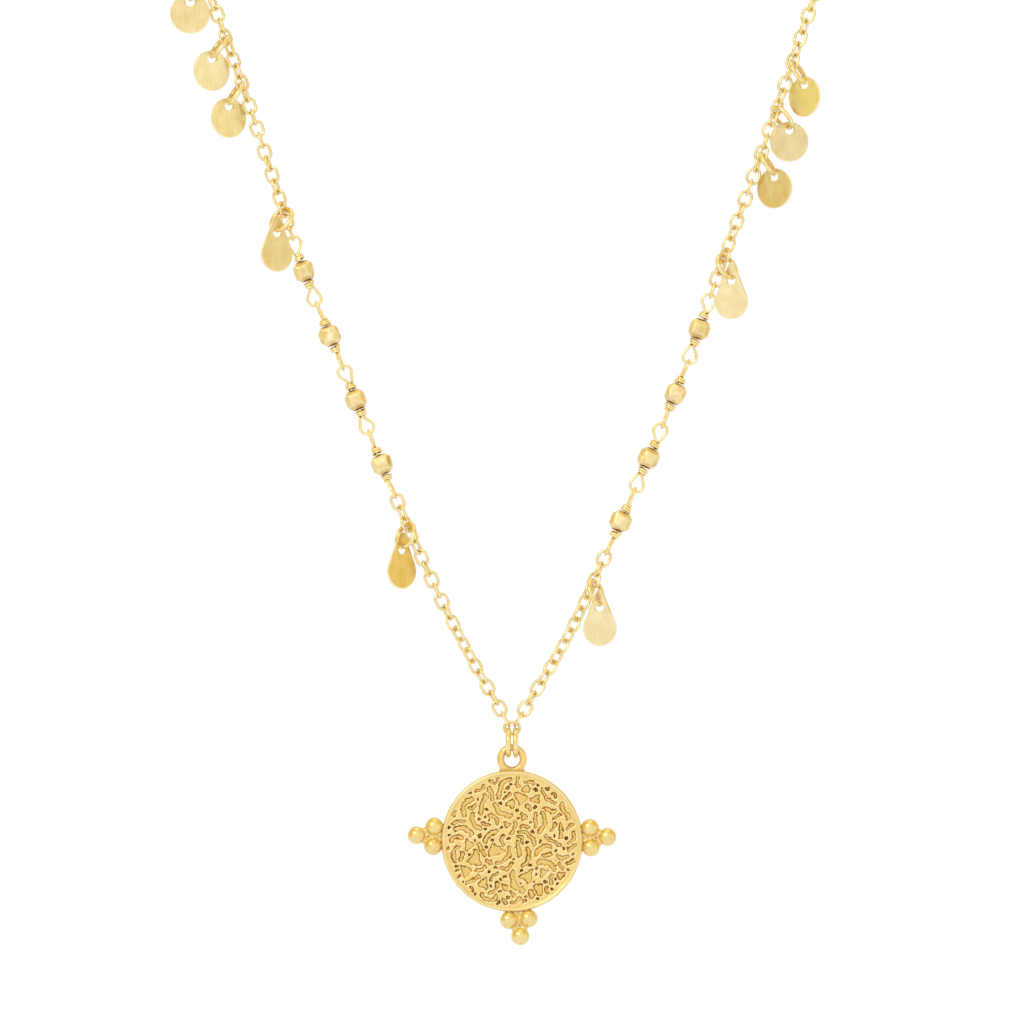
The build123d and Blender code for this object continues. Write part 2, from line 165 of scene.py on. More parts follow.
# %% [markdown]
# The chain, the rings, the wound wires and the clasp are brass wire that was drawn through a die,
# tumbled bright and plated. It is the brightest finish, with highlights that small dents break
# up. Where two wires meet, they shade each other and mirror each other's amber, and that shade is
# painted into the colour as amber. It could be worked out from rays at render time, but a mesh
# already knows which of its points are hidden. It keeps that painted shade as a number, which
# costs nothing and is the same in every view. Real tumbling dents are some hundredths of a
# millimetre wide, and are drawn coarser so that they show.

# %% Polished gold plate on wire
def make_polished_gold():
    """Bright plated wire with small changes of gloss, and painted amber shade where wires meet."""
    material, tree, shader, place = metal("polished_gold_plate")
    spot = add(tree, "ShaderNodeMapping", {"Vector": place, "Scale": per_metre(1.4)})
    tone = add(tree, "ShaderNodeTexNoise", {"Vector": spot, **noise})
    share = add(tree, "ShaderNodeMapRange", {0: tone, 1: 0.35, 2: 0.65})
    inputs = {0: share, 6: linear("#F3DC98"), 7: linear("#F8E9B8")}
    plate = add(tree, "ShaderNodeMix", inputs, out=2, data_type="RGBA")
    # Painted shade: amber where wires meet and hide each other.
    recess = add(tree, "ShaderNodeAttribute", out="Fac", attribute_name="recess")
    inputs = {0: recess, 6: plate, 7: linear("#D09228")}
    colour = add(tree, "ShaderNodeMix", inputs, out=2, data_type="RGBA")
    spot = add(tree, "ShaderNodeMapping", {"Vector": place, "Scale": per_metre(0.5)})
    tumble = add(tree, "ShaderNodeTexNoise", {"Vector": spot, **noise})
    gloss = add(tree, "ShaderNodeMapRange", {0: tumble, 1: 0.3, 2: 0.7, 3: 0.15, 4: 0.25})
    spot = add(tree, "ShaderNodeMapping", {"Vector": place, "Scale": per_metre(0.4)})
    dents = add(tree, "ShaderNodeTexNoise", {"Vector": spot, **noise, "Detail": 2.0})
    bump = add(tree, "ShaderNodeBump", {"Height": dents, "Distance": 0.008 * MM})
    feed(tree, shader, {"Base Color": colour, "Roughness": gloss, "Normal": bump})
    return material


polished_gold = make_polished_gold()
print("finish:", polished_gold.name)

# %% [markdown]
# The nuggets are cast brass, blasted with sand, tumbled and plated. Blasting leaves dull faces
# that sparkle with grain, and tumbling rubs the edges between them bright. The facets also differ
# in tone, because each one catches another part of the room, and that reflection is painted into
# their colour. Real sand pits are about half as wide as these, which are drawn coarser so that
# they show. The meshes keep numbers for the edges, for the painted reflections of the facets and
# for the painted shade at the ends, since only the shape knows where its edges are.

# %% Blasted gold plate on the nuggets
def make_sandy_gold():
    """Dull, grainy plate with edges worn bright, reflections painted on its facets and painted
    shade at the ends.
    """
    material, tree, shader, place = metal("sandy_gold_plate")
    facet, edge, recess = (
        add(tree, "ShaderNodeAttribute", out="Fac", attribute_name=name)
        for name in ("facet", "edge", "recess")
    )
    spot = add(tree, "ShaderNodeMapping", {"Vector": place, "Scale": per_metre(0.11)})
    grit = {**noise, "Detail": 4.0, "Roughness": 0.7}
    grain = add(tree, "ShaderNodeTexNoise", {"Vector": spot, **grit})
    spot = add(tree, "ShaderNodeMapping", {"Vector": place, "Scale": per_metre(0.9)})
    patch = add(tree, "ShaderNodeTexNoise", {"Vector": spot, **noise})
    share = add(tree, "ShaderNodeMapRange", {0: patch, 1: 0.35, 2: 0.65})
    pits = add(tree, "ShaderNodeMapRange", {0: grain, 1: 0.32, 2: 0.48, 3: 0.45, 4: 0})
    colour = linear("#EDD797")
    # The tones of the facets are painted reflections, and the brown of the ends is painted shade.
    for factor, code in (
        (share, "#F5E6B6"),
        (facet, "#D9B870"),
        (pits, "#B98B42"),
        (edge, "#F9EBBE"),
        (recess, "#A26E2E"),
    ):
        inputs = {0: factor, 6: colour, 7: linear(code)}
        colour = add(tree, "ShaderNodeMix", inputs, out=2, data_type="RGBA")
    gloss = add(tree, "ShaderNodeMapRange", {0: edge, 3: 0.50, 4: 0.30})
    bump = add(tree, "ShaderNodeBump", {"Height": grain, "Distance": 0.035 * MM, "Strength": 0.9})
    feed(tree, shader, {"Base Color": colour, "Roughness": gloss, "Normal": bump})
    return material


sandy_gold = make_sandy_gold()
print("finish:", sandy_gold.name)

# %% [markdown]
# The discs and teardrops are stamped from brass sheet, brushed from top to bottom and plated.
# That gives the eye a pale satin with upright streaks, a few dark specks, and a bright edge where
# the sheet rolls over and catches the light, which is painted in as a highlight. The streaks could
# be drawn as many thin lines, but noise that is thirty times longer than it is wide has the same
# uneven look and no repeat. Real brush marks are a few hundredths of a millimetre wide, and are
# drawn at a tenth so that they show.

# %% Brushed gold plate on the drops
def make_brushed_gold():
    """Pale satin plate with upright brush marks, a painted highlight on its edges and a painted
    reflection for each plate.
    """
    material, tree, shader, place = metal("brushed_pale_gold_plate")
    shade, edge = (
        add(tree, "ShaderNodeAttribute", out="Fac", attribute_name=name)
        for name in ("shade", "edge")
    )
    upright = per_metre(0.10, stretch=(1, 1, 30))
    spot = add(tree, "ShaderNodeMapping", {"Vector": place, "Scale": upright})
    fine = {**noise, "Detail": 4.0, "Roughness": 0.65}
    streak = add(tree, "ShaderNodeTexNoise", {"Vector": spot, **fine})
    spot = add(tree, "ShaderNodeMapping", {"Vector": place, "Scale": per_metre(1.8)})
    cloud = add(tree, "ShaderNodeTexNoise", {"Vector": spot, **noise})
    spot = add(tree, "ShaderNodeMapping", {"Vector": place, "Scale": per_metre(0.07)})
    speck = add(tree, "ShaderNodeTexNoise", {"Vector": spot, **noise, "Detail": 2.0})
    drift = add(tree, "ShaderNodeMapRange", {0: cloud, 1: 0.35, 2: 0.65, 3: -0.12, 4: 0.12})
    # Each plate's painted reflection, and a cloud of real unevenness over it.
    painted_reflection_and_cloud = add(tree, "ShaderNodeMath", {0: shade, 1: drift}, operation="ADD")
    lines = add(tree, "ShaderNodeMapRange", {0: streak, 1: 0.36, 2: 0.52, 3: 0.24, 4: 0})
    specks = add(tree, "ShaderNodeMapRange", {0: speck, 1: 0.28, 2: 0.36, 3: 0.25, 4: 0})
    # The pale edge is a painted highlight.
    colour = linear("#DBBF70")
    for factor, code in (
        (painted_reflection_and_cloud, "#FDF6D2"),
        (lines, "#C99E55"),
        (specks, "#B98A45"),
        (edge, "#FBEBBE"),
    ):
        inputs = {0: factor, 6: colour, 7: linear(code)}
        colour = add(tree, "ShaderNodeMix", inputs, out=2, data_type="RGBA")
    gloss = add(tree, "ShaderNodeMapRange", {0: streak, 1: 0.3, 2: 0.7, 3: 0.42, 4: 0.26})
    bump = add(tree, "ShaderNodeBump", {"Height": streak, "Distance": 0.012 * MM, "Strength": 0.6})
    feed(tree, shader, {"Base Color": colour, "Roughness": gloss, "Normal": bump})
    return material


brushed_gold = make_brushed_gold()
print("finish:", brushed_gold.name)

# %% [markdown]
# The medallion is a brass casting, plated, darkened all over and rubbed back with a cloth. To the
# eye it is satin gold with brown left where the cloth can't reach, bright lips beside it, and
# granules that were tumbled and shine more. The lips are worn bright, and on the side that faces
# the light they carry a painted highlight, while the brown is thicker on the side away from it, as
# painted shadow. A shader could guess the recesses, but the shape knows them, so its meshes keep
# numbers for the brown, the bright lips and the gloss. The casting's grain is drawn at 0.13 mm,
# coarser than real investment grain, so that it shows.

# %% Rubbed-back gold plate on the medallion
def make_antique_gold():
    """Satin plate with brown left in the recesses, partly painted shadow, and pale lips, partly a
    painted highlight.
    """
    material, tree, shader, place = metal("antique_gold_plate")
    patina, rubbed, shine = (
        add(tree, "ShaderNodeAttribute", out="Fac", attribute_name=name)
        for name in ("patina", "rubbed", "gloss")
    )
    spot = add(tree, "ShaderNodeMapping", {"Vector": place, "Scale": per_metre(2.6)})
    cloud = add(tree, "ShaderNodeTexNoise", {"Vector": spot, **noise})
    spot = add(tree, "ShaderNodeMapping", {"Vector": place, "Scale": per_metre(0.13)})
    grain = add(tree, "ShaderNodeTexNoise", {"Vector": spot, **noise, "Roughness": 0.65})
    share = add(tree, "ShaderNodeMapRange", {0: cloud, 1: 0.35, 2: 0.65})
    pits = add(tree, "ShaderNodeMapRange", {0: grain, 1: 0.3, 2: 0.46, 3: 0.5, 4: 0})
    thin = add(tree, "ShaderNodeMapRange", {0: patina, 1: 0.0, 2: 0.6})
    thick = add(tree, "ShaderNodeMapRange", {0: patina, 1: 0.55, 2: 1.0})
    colour = linear("#EDCF7C")
    # The brown holds some painted shadow, and the pale lips a painted highlight.
    for factor, code in (
        (share, "#F2D98E"),
        (pits, "#C28F38"),
        (thin, "#B97C24"),
        (thick, "#6A4418"),
        (rubbed, "#FCEFC4"),
    ):
        inputs = {0: factor, 6: colour, 7: linear(code)}
        colour = add(tree, "ShaderNodeMix", inputs, out=2, data_type="RGBA")
    # Roughness: the casting's own, more under the patina and less on what was tumbled.
    worn = add(tree, "ShaderNodeMapRange", {0: grain, 1: 0.3, 2: 0.7, 3: 0.30, 4: 0.40})
    dull = add(tree, "ShaderNodeMapRange", {0: patina, 3: 0.0, 4: 0.25})
    bright = add(tree, "ShaderNodeMapRange", {0: shine, 3: 0.0, 4: 0.14})
    worn = add(tree, "ShaderNodeMath", {0: worn, 1: dull}, operation="ADD")
    rough = add(tree, "ShaderNodeMath", {0: worn, 1: bright}, operation="SUBTRACT")
    bump = add(tree, "ShaderNodeBump", {"Height": grain, "Distance": 0.02 * MM, "Strength": 0.7})
    feed(tree, shader, {"Base Color": colour, "Roughness": rough, "Normal": bump})
    return material


antique_gold = make_antique_gold()
print("finish:", antique_gold.name)

# %% [markdown]
# ## Cable chain
#
# A cable chain is one oval link of round wire, again and again, each a quarter turn on from the
# last. One link could be modelled and copied by hand, but hundreds of them are what Geometry
# Nodes are for: the tree makes one link and sets it on every point. It pulls a circle of few
# corners apart into an oval, sweeps a round wire along it, and turns it by the two directions
# that the point carries and a little by chance, because loose links never lie quite square. So
# many links need few faces each: twelve corners of six sides read as round wire at this size.

# %% Sizes of a link and its middle line
link_length = 2.77
link_width = 2.20
link_wire = 0.46    # The CAD links are 0.42 mm thick, so that they keep a clearance.
link_corners = 12
link_tilt = 0.04    # Radians to either side.


def oval_path(tree, given):
    """The middle line of a link: a circle of few corners, pulled apart along X."""
    half_turn = add(tree, "ShaderNodeMath", {0: math.pi, 1: given["Corners"]}, operation="DIVIDE")
    inputs = {0: given["Width"], 1: given["Wire"]}
    across = add(tree, "ShaderNodeMath", inputs, operation="SUBTRACT")
    half_width = add(tree, "ShaderNodeMath", {0: across, 1: 0.5}, operation="MULTIPLY")
    flat = add(tree, "ShaderNodeMath", {0: half_turn}, operation="COSINE")
    radius = add(tree, "ShaderNodeMath", {0: half_width, 1: flat}, operation="DIVIDE")
    inputs = {"Resolution": given["Corners"], "Radius": radius}
    circle = add(tree, "GeometryNodeCurvePrimitiveCircle", inputs)
    turn = add(tree, "ShaderNodeCombineXYZ", {2: half_turn})
    circle = add(tree, "GeometryNodeTransform", {"Geometry": circle, "Rotation": turn})
    place = add(tree, "GeometryNodeInputPosition")
    along = add(tree, "ShaderNodeSeparateXYZ", {0: place})
    side = add(tree, "ShaderNodeMath", {0: along}, operation="SIGN")
    inputs = {0: given["Length"], 1: given["Width"]}
    longer = add(tree, "ShaderNodeMath", inputs, operation="SUBTRACT")
    stretch = add(tree, "ShaderNodeMath", {0: longer, 1: 0.5}, operation="MULTIPLY")
    shift = add(tree, "ShaderNodeMath", {0: side, 1: stretch}, operation="MULTIPLY")
    shift = add(tree, "ShaderNodeCombineXYZ", {0: shift})
    return add(tree, "GeometryNodeSetPosition", {"Geometry": circle, "Offset": shift})


print("link:", link_length, "x", link_width, "mm in", link_wire, "mm wire")

# %% [markdown]
# Links touch each other at their bends, and just beside that they shade each other, so amber
# shade is painted there. That could be a pattern over the whole chain, but every link is the
# same, so the tree stores it once on the link before it is copied. A point gets this painted
# shade where its face looks back at the link's middle, and where it is far enough along to be in
# a bend. The turn of a link comes from the CAD chain, so each point carries its link's long and
# thin directions.

# %% Hidden side and turn of a link
def add_painted_shade(tree, link, length):
    """Store how far inside the bends of a link each point lies, from 0 to 1, as painted shade."""
    place = add(tree, "GeometryNodeInputPosition")
    normal = add(tree, "GeometryNodeInputNormal")
    outward = add(tree, "ShaderNodeVectorMath", {0: place}, operation="NORMALIZE")
    inputs = {0: normal, 1: outward}
    facing = add(tree, "ShaderNodeVectorMath", inputs, out="Value", operation="DOT_PRODUCT")
    inside = add(tree, "ShaderNodeMapRange", {0: facing, 1: 0.2, 2: -0.8})
    along = add(tree, "ShaderNodeSeparateXYZ", {0: place})
    far = add(tree, "ShaderNodeMath", {0: along}, operation="ABSOLUTE")
    share = add(tree, "ShaderNodeMath", {0: far, 1: length}, operation="DIVIDE")
    bend = add(tree, "ShaderNodeMapRange", {0: share, 1: 0.22, 2: 0.36, 3: 0, 4: 0.85})
    # The painted shade: on the inner side, and only in the bends.
    recess = add(tree, "ShaderNodeMath", {0: inside, 1: bend}, operation="MULTIPLY")
    inputs = {"Geometry": link, "Name": "recess", "Value": recess}
    return add(tree, "GeometryNodeStoreNamedAttribute", inputs)


def link_turn(tree, given):
    """How each link is turned: by its point's two directions, and a little by chance."""
    vector = {"out": "Attribute", "data_type": "FLOAT_VECTOR"}
    along, facing = (
        add(tree, "GeometryNodeInputNamedAttribute", {"Name": name}, **vector)
        for name in ("along", "facing")
    )
    inputs = {"Primary Axis": along, "Secondary Axis": facing}
    turn = add(tree, "FunctionNodeAxesToRotation", inputs, primary_axis="X", secondary_axis="Z")
    lowest = add(tree, "ShaderNodeMath", {0: given["Tilt"], 1: -1.0}, operation="MULTIPLY")
    inputs = {2: lowest, 3: given["Tilt"], "Seed": given["Seed"]}
    chance = add(tree, "FunctionNodeRandomValue", inputs, out=1, data_type="FLOAT")
    inputs = {"Axis": (1, 0, 0), "Angle": chance}
    tilt = add(tree, "FunctionNodeAxisAngleToRotation", inputs)
    inputs = {"Rotation": turn, "Rotate By": tilt}
    return add(tree, "FunctionNodeRotateRotation", inputs, rotation_space="LOCAL")


print("links hang up to", round(math.degrees(link_tilt), 1), "degrees off square")

# %% [markdown]
# The group gives its sizes as named inputs, as a tool in the modifier list would, so the chain
# over the shoulders can use it with fewer sides. It ends by making real meshes of the copies and
# giving them the finish, because an export drops copies that only the screen shows.

# %% Geometry Nodes tree of a cable link
def socket_in(tree, name, kind, value=None):
    """Declare one named input of a node group, and give its identifier."""
    socket = tree.interface.new_socket(name, in_out="INPUT", socket_type=kind)
    if value is not None:
        socket.default_value = value
    return socket.identifier


def make_link_tree():
    """A node group that sets an oval wire link on each point."""
    tree = bpy.data.node_groups.new("cable_link", "GeometryNodeTree")
    socket_in(tree, "Points", "NodeSocketGeometry")
    names = {
        "Wire": socket_in(tree, "Wire", "NodeSocketFloat", link_wire * MM),
        "Length": socket_in(tree, "Length", "NodeSocketFloat", link_length * MM),
        "Width": socket_in(tree, "Width", "NodeSocketFloat", link_width * MM),
        "Corners": socket_in(tree, "Corners", "NodeSocketInt", link_corners),
        "Sides": socket_in(tree, "Sides", "NodeSocketInt", 6),
        "Tilt": socket_in(tree, "Tilt", "NodeSocketFloat", link_tilt),
        "Seed": socket_in(tree, "Seed", "NodeSocketInt", 5),
        "Material": socket_in(tree, "Material", "NodeSocketMaterial"),
    }
    tree.interface.new_socket("Links", in_out="OUTPUT", socket_type="NodeSocketGeometry")
    given = add(tree, "NodeGroupInput").node.outputs
    half_wire = add(tree, "ShaderNodeMath", {0: given["Wire"], 1: 0.5}, operation="MULTIPLY")
    inputs = {"Resolution": given["Sides"], "Radius": half_wire}
    section = add(tree, "GeometryNodeCurvePrimitiveCircle", inputs)
    inputs = {"Curve": oval_path(tree, given), "Profile Curve": section}
    link = add(tree, "GeometryNodeCurveToMesh", inputs)
    link = add_painted_shade(tree, link, given["Length"])
    inputs = {"Points": given["Points"], "Instance": link, "Rotation": link_turn(tree, given)}
    links = add(tree, "GeometryNodeInstanceOnPoints", inputs)
    links = add(tree, "GeometryNodeRealizeInstances", {"Geometry": links})
    links = add(tree, "GeometryNodeSetShadeSmooth", {"Geometry": links})
    inputs = {"Geometry": links, "Material": given["Material"]}
    links = add(tree, "GeometryNodeSetMaterial", inputs)
    add(tree, "NodeGroupOutput", {"Links": links})
    return tree, names


link_tree, link_inputs = make_link_tree()
print("link tree:", len(link_tree.nodes), "nodes, inputs", list(link_inputs))

# %% [markdown]
# The tree runs once on a small mesh of points, and what it makes is kept as a plain mesh. The
# modifier could stay live, but a plain mesh exports like any other piece, and nothing is left to
# be worked out later. Each finished piece is tied to its body, so that it swings with it, and the
# CAD node that it takes the place of is hidden.

# %% Lay links on points
def put(name, data):
    """A new object in the scene, at the origin."""
    thing = bpy.data.objects.new(name, data)
    bpy.context.scene.collection.objects.link(thing)
    return thing


def add_piece(name, mesh, material, body, nodes):
    """Put a mesh into the scene in place of the CAD nodes that it stands for."""
    mesh.materials.clear()
    mesh.materials.append(material)
    piece = put(name, mesh)
    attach(piece, body)
    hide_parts(*nodes)


def kept_mesh(holder):
    """The plain mesh that an object's modifiers make, and no more object."""
    graph = bpy.context.evaluated_depsgraph_get()
    mesh = bpy.data.meshes.new_from_object(holder.evaluated_get(graph), depsgraph=graph)
    bpy.data.objects.remove(holder)
    return mesh


def lay_links(name, places, sides):
    """Run the link tree over places of centre, long axis and thin axis."""
    points = bpy.data.meshes.new(name + "_points")
    points.from_pydata([tuple(place[0] * MM) for place in places], [], [])
    for column, label in ((1, "along"), (2, "facing")):
        values = np.array([place[column] for place in places], np.float32)
        attribute = points.attributes.new(label, "FLOAT_VECTOR", "POINT")
        attribute.data.foreach_set("vector", values.ravel())
    holder = put(name + "_points", points)
    nodes = holder.modifiers.new("links", "NODES")
    nodes.node_group = link_tree
    nodes[link_inputs["Sides"]] = sides
    nodes[link_inputs["Material"]] = polished_gold
    return kept_mesh(holder)


def add_chain(name, places, node, sides=6):
    """Lay a chain and put it in place of its CAD node."""
    mesh = lay_links(name, places, sides)
    mesh.name = name
    add_piece(name, mesh, polished_gold, "necklace", [node])
    print(name, len(places), "links,", len(mesh.polygons), "faces")


add_chain("links_lower", [(c, a, t) for c, a, m, t in lower_links], "chain_lower")
for side, links in upper_links.items():
    add_chain(f"links_upper_{side}", [(c, a, t) for c, a, m, t in links], f"chain_upper_{side}")

# %% [markdown]
# The stretch over the shoulders is hidden in the photograph, and is the same plain chain. Its
# links could be placed one by one, but a chain lies along one smooth line, so they are set at
# even steps along a spline, from the last link in front to the clasp. Each is a quarter turn on
# from the one before, and an even twist of some degrees in all brings the last one level, so that
# it passes through the clasp's eye. Nobody looks closely here, so its wire has only five sides.

# %% Route over the shoulders
link_pitch = 1.82
last_link_x = 6.78    # Half the clasp and its eye, and what the link reaches back into the eye.
heading_step = 0.3
# Corners of the route from the front to the nape, given one by one.
nape_route = [
    (57.4, -57.5, -10.0),
    (55.2, -42.5, -6.4),
    (49.2, -28.5, -3.9),
    (39.4, -16.6, -2.2),
    (26.8, -7.4, -0.9),
    (12.6, -1.4, -0.2),
]


def unit(vectors):
    """Vectors brought to length one."""
    vectors = np.asarray(vectors, float)
    return vectors / np.linalg.norm(vectors, axis=-1, keepdims=True)


def spline_points(route):
    """Points along a smooth spline through a route's corners."""
    curve = bpy.data.curves.new("nape_route", "CURVE")
    curve.dimensions = "3D"
    spline = curve.splines.new("NURBS")
    spline.points.add(len(route) - 1)
    for point, corner in zip(spline.points, route):
        point.co = (*[float(value) for value in corner], 1)
    spline.order_u = 3
    spline.use_endpoint_u = True
    spline.resolution_u = 24
    holder = bpy.data.objects.new("nape_route", curve)
    mesh = bpy.data.meshes.new_from_object(holder)
    points = np.array([v.co for v in mesh.vertices])
    bpy.data.objects.remove(holder)
    bpy.data.meshes.remove(mesh)
    return points


def reach_along(points):
    """How far along a run of points each of them lies."""
    steps = np.linalg.norm(np.diff(points, axis=0), axis=1)
    return np.concatenate([[0], np.cumsum(steps)])


def at_station(points, station):
    """The place at a distance along a run of points, or at several."""
    reach = reach_along(points)
    return np.stack([np.interp(station, reach, column) for column in points.T], axis=-1)


def heading(points, station):
    """The direction of a run of points at a distance along it."""
    ahead = at_station(points, station + heading_step)
    return unit(ahead - at_station(points, station - heading_step))


print("route corners on each side:", len(nape_route))

# %% [markdown]
# A link's roll is its turn about the chain's own line, measured from the level direction that
# points outwards. It could start anywhere, but then the chain would show a sudden twist, so the
# first hidden link goes on from the roll of the last one in front.

# %% Chain over the shoulders
def level_axes(tangent, sign):
    """Outward and upward directions square to the chain."""
    out = unit(np.cross(tangent, (0, 0, 1)) * sign)
    return out, np.cross(tangent, out)


def nape_places(side, sign):
    """Centre, long axis and thin axis of each hidden link of one side."""
    last = max(upper_links[side], key=lambda link: link[0][1])
    route = [last[0]] + [np.array((sign * x, y, z)) for x, y, z in nape_route]
    route.append(np.array((sign * last_link_x, 0.0, 0.0)))
    points = spline_points(route)
    length = reach_along(points)[-1]
    count = round(length / link_pitch)
    pitch = length / count
    out, up = level_axes(heading(points, 0), sign)
    first_roll = math.degrees(math.atan2(last[3] @ up, last[3] @ out))
    surplus = (first_roll + 90 * count - 90) % 180
    twist = -surplus if surplus < 90 else 180 - surplus
    places = []
    for index in range(1, count + 1):
        tangent = heading(points, index * pitch)
        out, up = level_axes(tangent, sign)
        roll = math.radians(first_roll + 90 * index + twist * index / count)
        facing = out * math.cos(roll) + up * math.sin(roll)
        places.append((at_station(points, index * pitch), tangent, facing))
    print("nape", side, round(length, 1), "mm,", count, "links, pitch", round(pitch, 3))
    return places


for side, sign in (("left", -1), ("right", 1)):
    add_chain(f"links_nape_{side}", nape_places(side, sign), f"chain_nape_{side}", sides=5)

# %% [markdown]
# ## Wire work
#
# Rings and wound wires are round wire that was bent round a mandrel. A curve with a bevel would
# give the same tube, but it twists by its own rules and has no points to keep values on. So the
# wire is swept by hand: its section is carried along the path without turning, and each row of
# points is joined to the next by quads. A cut ring closes on itself, and an open wire is capped.

# %% Sweep a round wire along a path
# Rows close together at a cut, in radians. The inner two are pinched to a fine groove.
seam_rows = np.array([-0.020, -0.008, 0.008, 0.020])
seam_pinch = 0.93


def once_round(count):
    """Angles at even steps once round."""
    return np.linspace(0, 2 * math.pi, count, endpoint=False)


def on_circle(radius, angles):
    """Points of a flat circle about the origin."""
    return radius * np.stack([np.cos(angles), np.sin(angles)], axis=-1)


def grid_faces(rows, columns, rows_close, columns_close):
    """Quads over a grid of points whose rows or columns may run round."""
    faces = []
    for row in range(rows if rows_close else rows - 1):
        below = row * columns
        above = (row + 1) % rows * columns
        for column in range(columns if columns_close else columns - 1):
            beside = (column + 1) % columns
            faces.append((below + column, below + beside, above + beside, above + column))
    return faces


def wire_along(path, radii, sides, closed):
    """Points and faces of a round wire that follows a path without twisting."""
    path = np.asarray(path, float)
    if closed:
        tangents = unit(np.roll(path, -1, axis=0) - np.roll(path, 1, axis=0))
    else:
        tangents = unit(np.gradient(path, axis=0))
    start = np.eye(3)[np.argmin(np.abs(tangents[0]))]
    normals = [unit(start - tangents[0] * (start @ tangents[0]))]
    for tangent in tangents[1:]:
        normals.append(unit(normals[-1] - tangent * (normals[-1] @ tangent)))
    normals = np.array(normals)[:, None]
    sideways = np.cross(tangents, normals[:, 0])[:, None]
    angles = once_round(sides)[:, None]
    spokes = normals * np.cos(angles) + sideways * np.sin(angles)
    points = path[:, None] + spokes * np.broadcast_to(radii, len(path))[:, None, None]
    faces = grid_faces(len(path), sides, closed, True)
    if not closed:
        last = (len(path) - 1) * sides
        faces.append(tuple(range(sides))[::-1])
        faces.append(tuple(last + index for index in range(sides)))
    return points.reshape(-1, 3), faces


def ring_shape(outer, wire, seam_degrees, steps=72, sides=18):
    """A cut ring about Z, closed at a fine seam."""
    seam = math.radians(seam_degrees)
    angles = once_round(steps)
    angles = angles[np.abs(angles - seam) > 2 * seam_rows.max()]
    angles = np.sort(np.concatenate([angles, seam + seam_rows]))
    pinch = np.where(np.abs(angles - seam) < seam_rows.max() / 2, seam_pinch, 1.0)
    path = np.column_stack([on_circle((outer - wire) / 2, angles), 0 * angles])
    return wire_along(path, wire / 2 * pinch, sides, True)


print("a trial wire of three steps:", len(wire_along(np.eye(3), 0.1, 6, False)[1]), "faces")

# %% [markdown]
# A jump ring is one turn of wire, cut, opened to take a link and a drop, and pressed shut. Two
# larger rings carry the medallion. A torus would do from afar, but the cut shows as a fine dark
# line on real ones, so each ring has its seam at another place. Its inner side, where the links
# sit and shade it, is painted amber as shade.

# %% Jump rings
ring_outer = 4.5
ring_wire = 0.70    # The CAD wire is 0.65 mm thick, so that it keeps a clearance.
pendant_ring_outer = 4.66    # The CAD rings are 4.5 mm across in 0.65 mm wire.
pendant_ring_wire = 0.78
first_seam = 40
seam_step = 31


def mesh_from(name, points, faces):
    """A mesh in metres from points in millimetres, with its faces turned outwards."""
    mesh = bpy.data.meshes.new(name)
    mesh.from_pydata((np.asarray(points).reshape(-1, 3) * MM).tolist(), [], faces)
    work = bmesh.new()
    work.from_mesh(mesh)
    bmesh.ops.recalc_face_normals(work, faces=work.faces)
    work.to_mesh(mesh)
    work.free()
    mesh.shade_smooth()
    return mesh


def set_attribute(mesh, name, values):
    """Keep one number a point on the mesh, for its material to read."""
    attribute = mesh.attributes.new(name, "FLOAT", "POINT")
    attribute.data.foreach_set("value", np.full(len(mesh.vertices), values, np.float32))


def smooth_step(value, low, high):
    """0 below low, 1 above high and smooth between."""
    share = np.clip((value - low) / (high - low), 0, 1)
    return share * share * (3 - 2 * share)


def set_on(points, centre, along, facing):
    """Move local points so that X lies along one direction and Z along another."""
    x_axis, z_axis = unit(along), unit(facing)
    y_axis = np.cross(z_axis, x_axis)
    return centre + points @ np.stack([x_axis, y_axis, z_axis])


def add_ring(node, name, body, seam_degrees, outer=ring_outer, wire=ring_wire):
    """A jump ring in place of its CAD node."""
    centre, along, _, facing = axes_of(loose_solids(node)[0])
    points, faces = ring_shape(outer, wire, seam_degrees)
    mesh = mesh_from(name, set_on(points, centre, along, facing), faces)
    # Painted shade on the inner side, and the dark line of the real seam.
    inside = smooth_step((outer - wire) / 2 - np.hypot(points[:, 0], points[:, 1]), 0.0, 0.3)
    turn = np.degrees(np.arctan2(points[:, 1], points[:, 0])) - seam_degrees
    seam = np.abs((turn + 180) % 360 - 180) < 0.8
    set_attribute(mesh, "recess", np.maximum(0.5 * inside, 0.9 * seam))
    add_piece(name, mesh, polished_gold, body, [node])


ring_nodes = sorted(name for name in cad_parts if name.startswith("ring_"))
for index, node in enumerate(ring_nodes):
    seam = first_seam + seam_step * index
    add_ring(node, node.replace("ring_", "jump_ring_"), "necklace", seam)
for side, seam in (("left", 150), ("right", 205)):
    sizes = pendant_ring_outer, pendant_ring_wire
    name = f"pendant_jump_ring_{side}"
    add_ring(f"pendant_ring_{side}", name, "pendant_rings", seam, *sizes)
print("rings:", len(ring_nodes) + 2)

# %% [markdown]
# Each bead sits on one wire. At both ends the wire is bent round into an eye, and its tail is
# wound down the stem by hand, two turns and a bit, which spread where they meet the bead. Stacked
# rings would pass for such a collar, but a real one is a spiral with a start and an end, and no
# two are alike. So the whole wire is one path with a seeded number of turns, spacing and swing.

# %% Path of a wound wire
bead_length = 3.1
eye_wire = 0.45
eye_width = 2.5
eye_reach = 5.48
eye_lift = 0.1    # The eye leans this much, so that the tail passes beside the stem.
wrap_width = 1.49
wrap_clearance = 0.06
wrap_flare = 0.55
collar_length = 1.29
collar_steps = 30
tail_gap = 0.015


def softened(points, times):
    """Cut the corners of a run of points, keeping its ends."""
    for _ in range(times):
        early = 0.75 * points[:-1] + 0.25 * points[1:]
        late = 0.25 * points[:-1] + 0.75 * points[1:]
        middle = np.stack([early, late], axis=1).reshape(-1, 3)
        points = np.concatenate([points[:1], middle, points[-1:]])
    return points


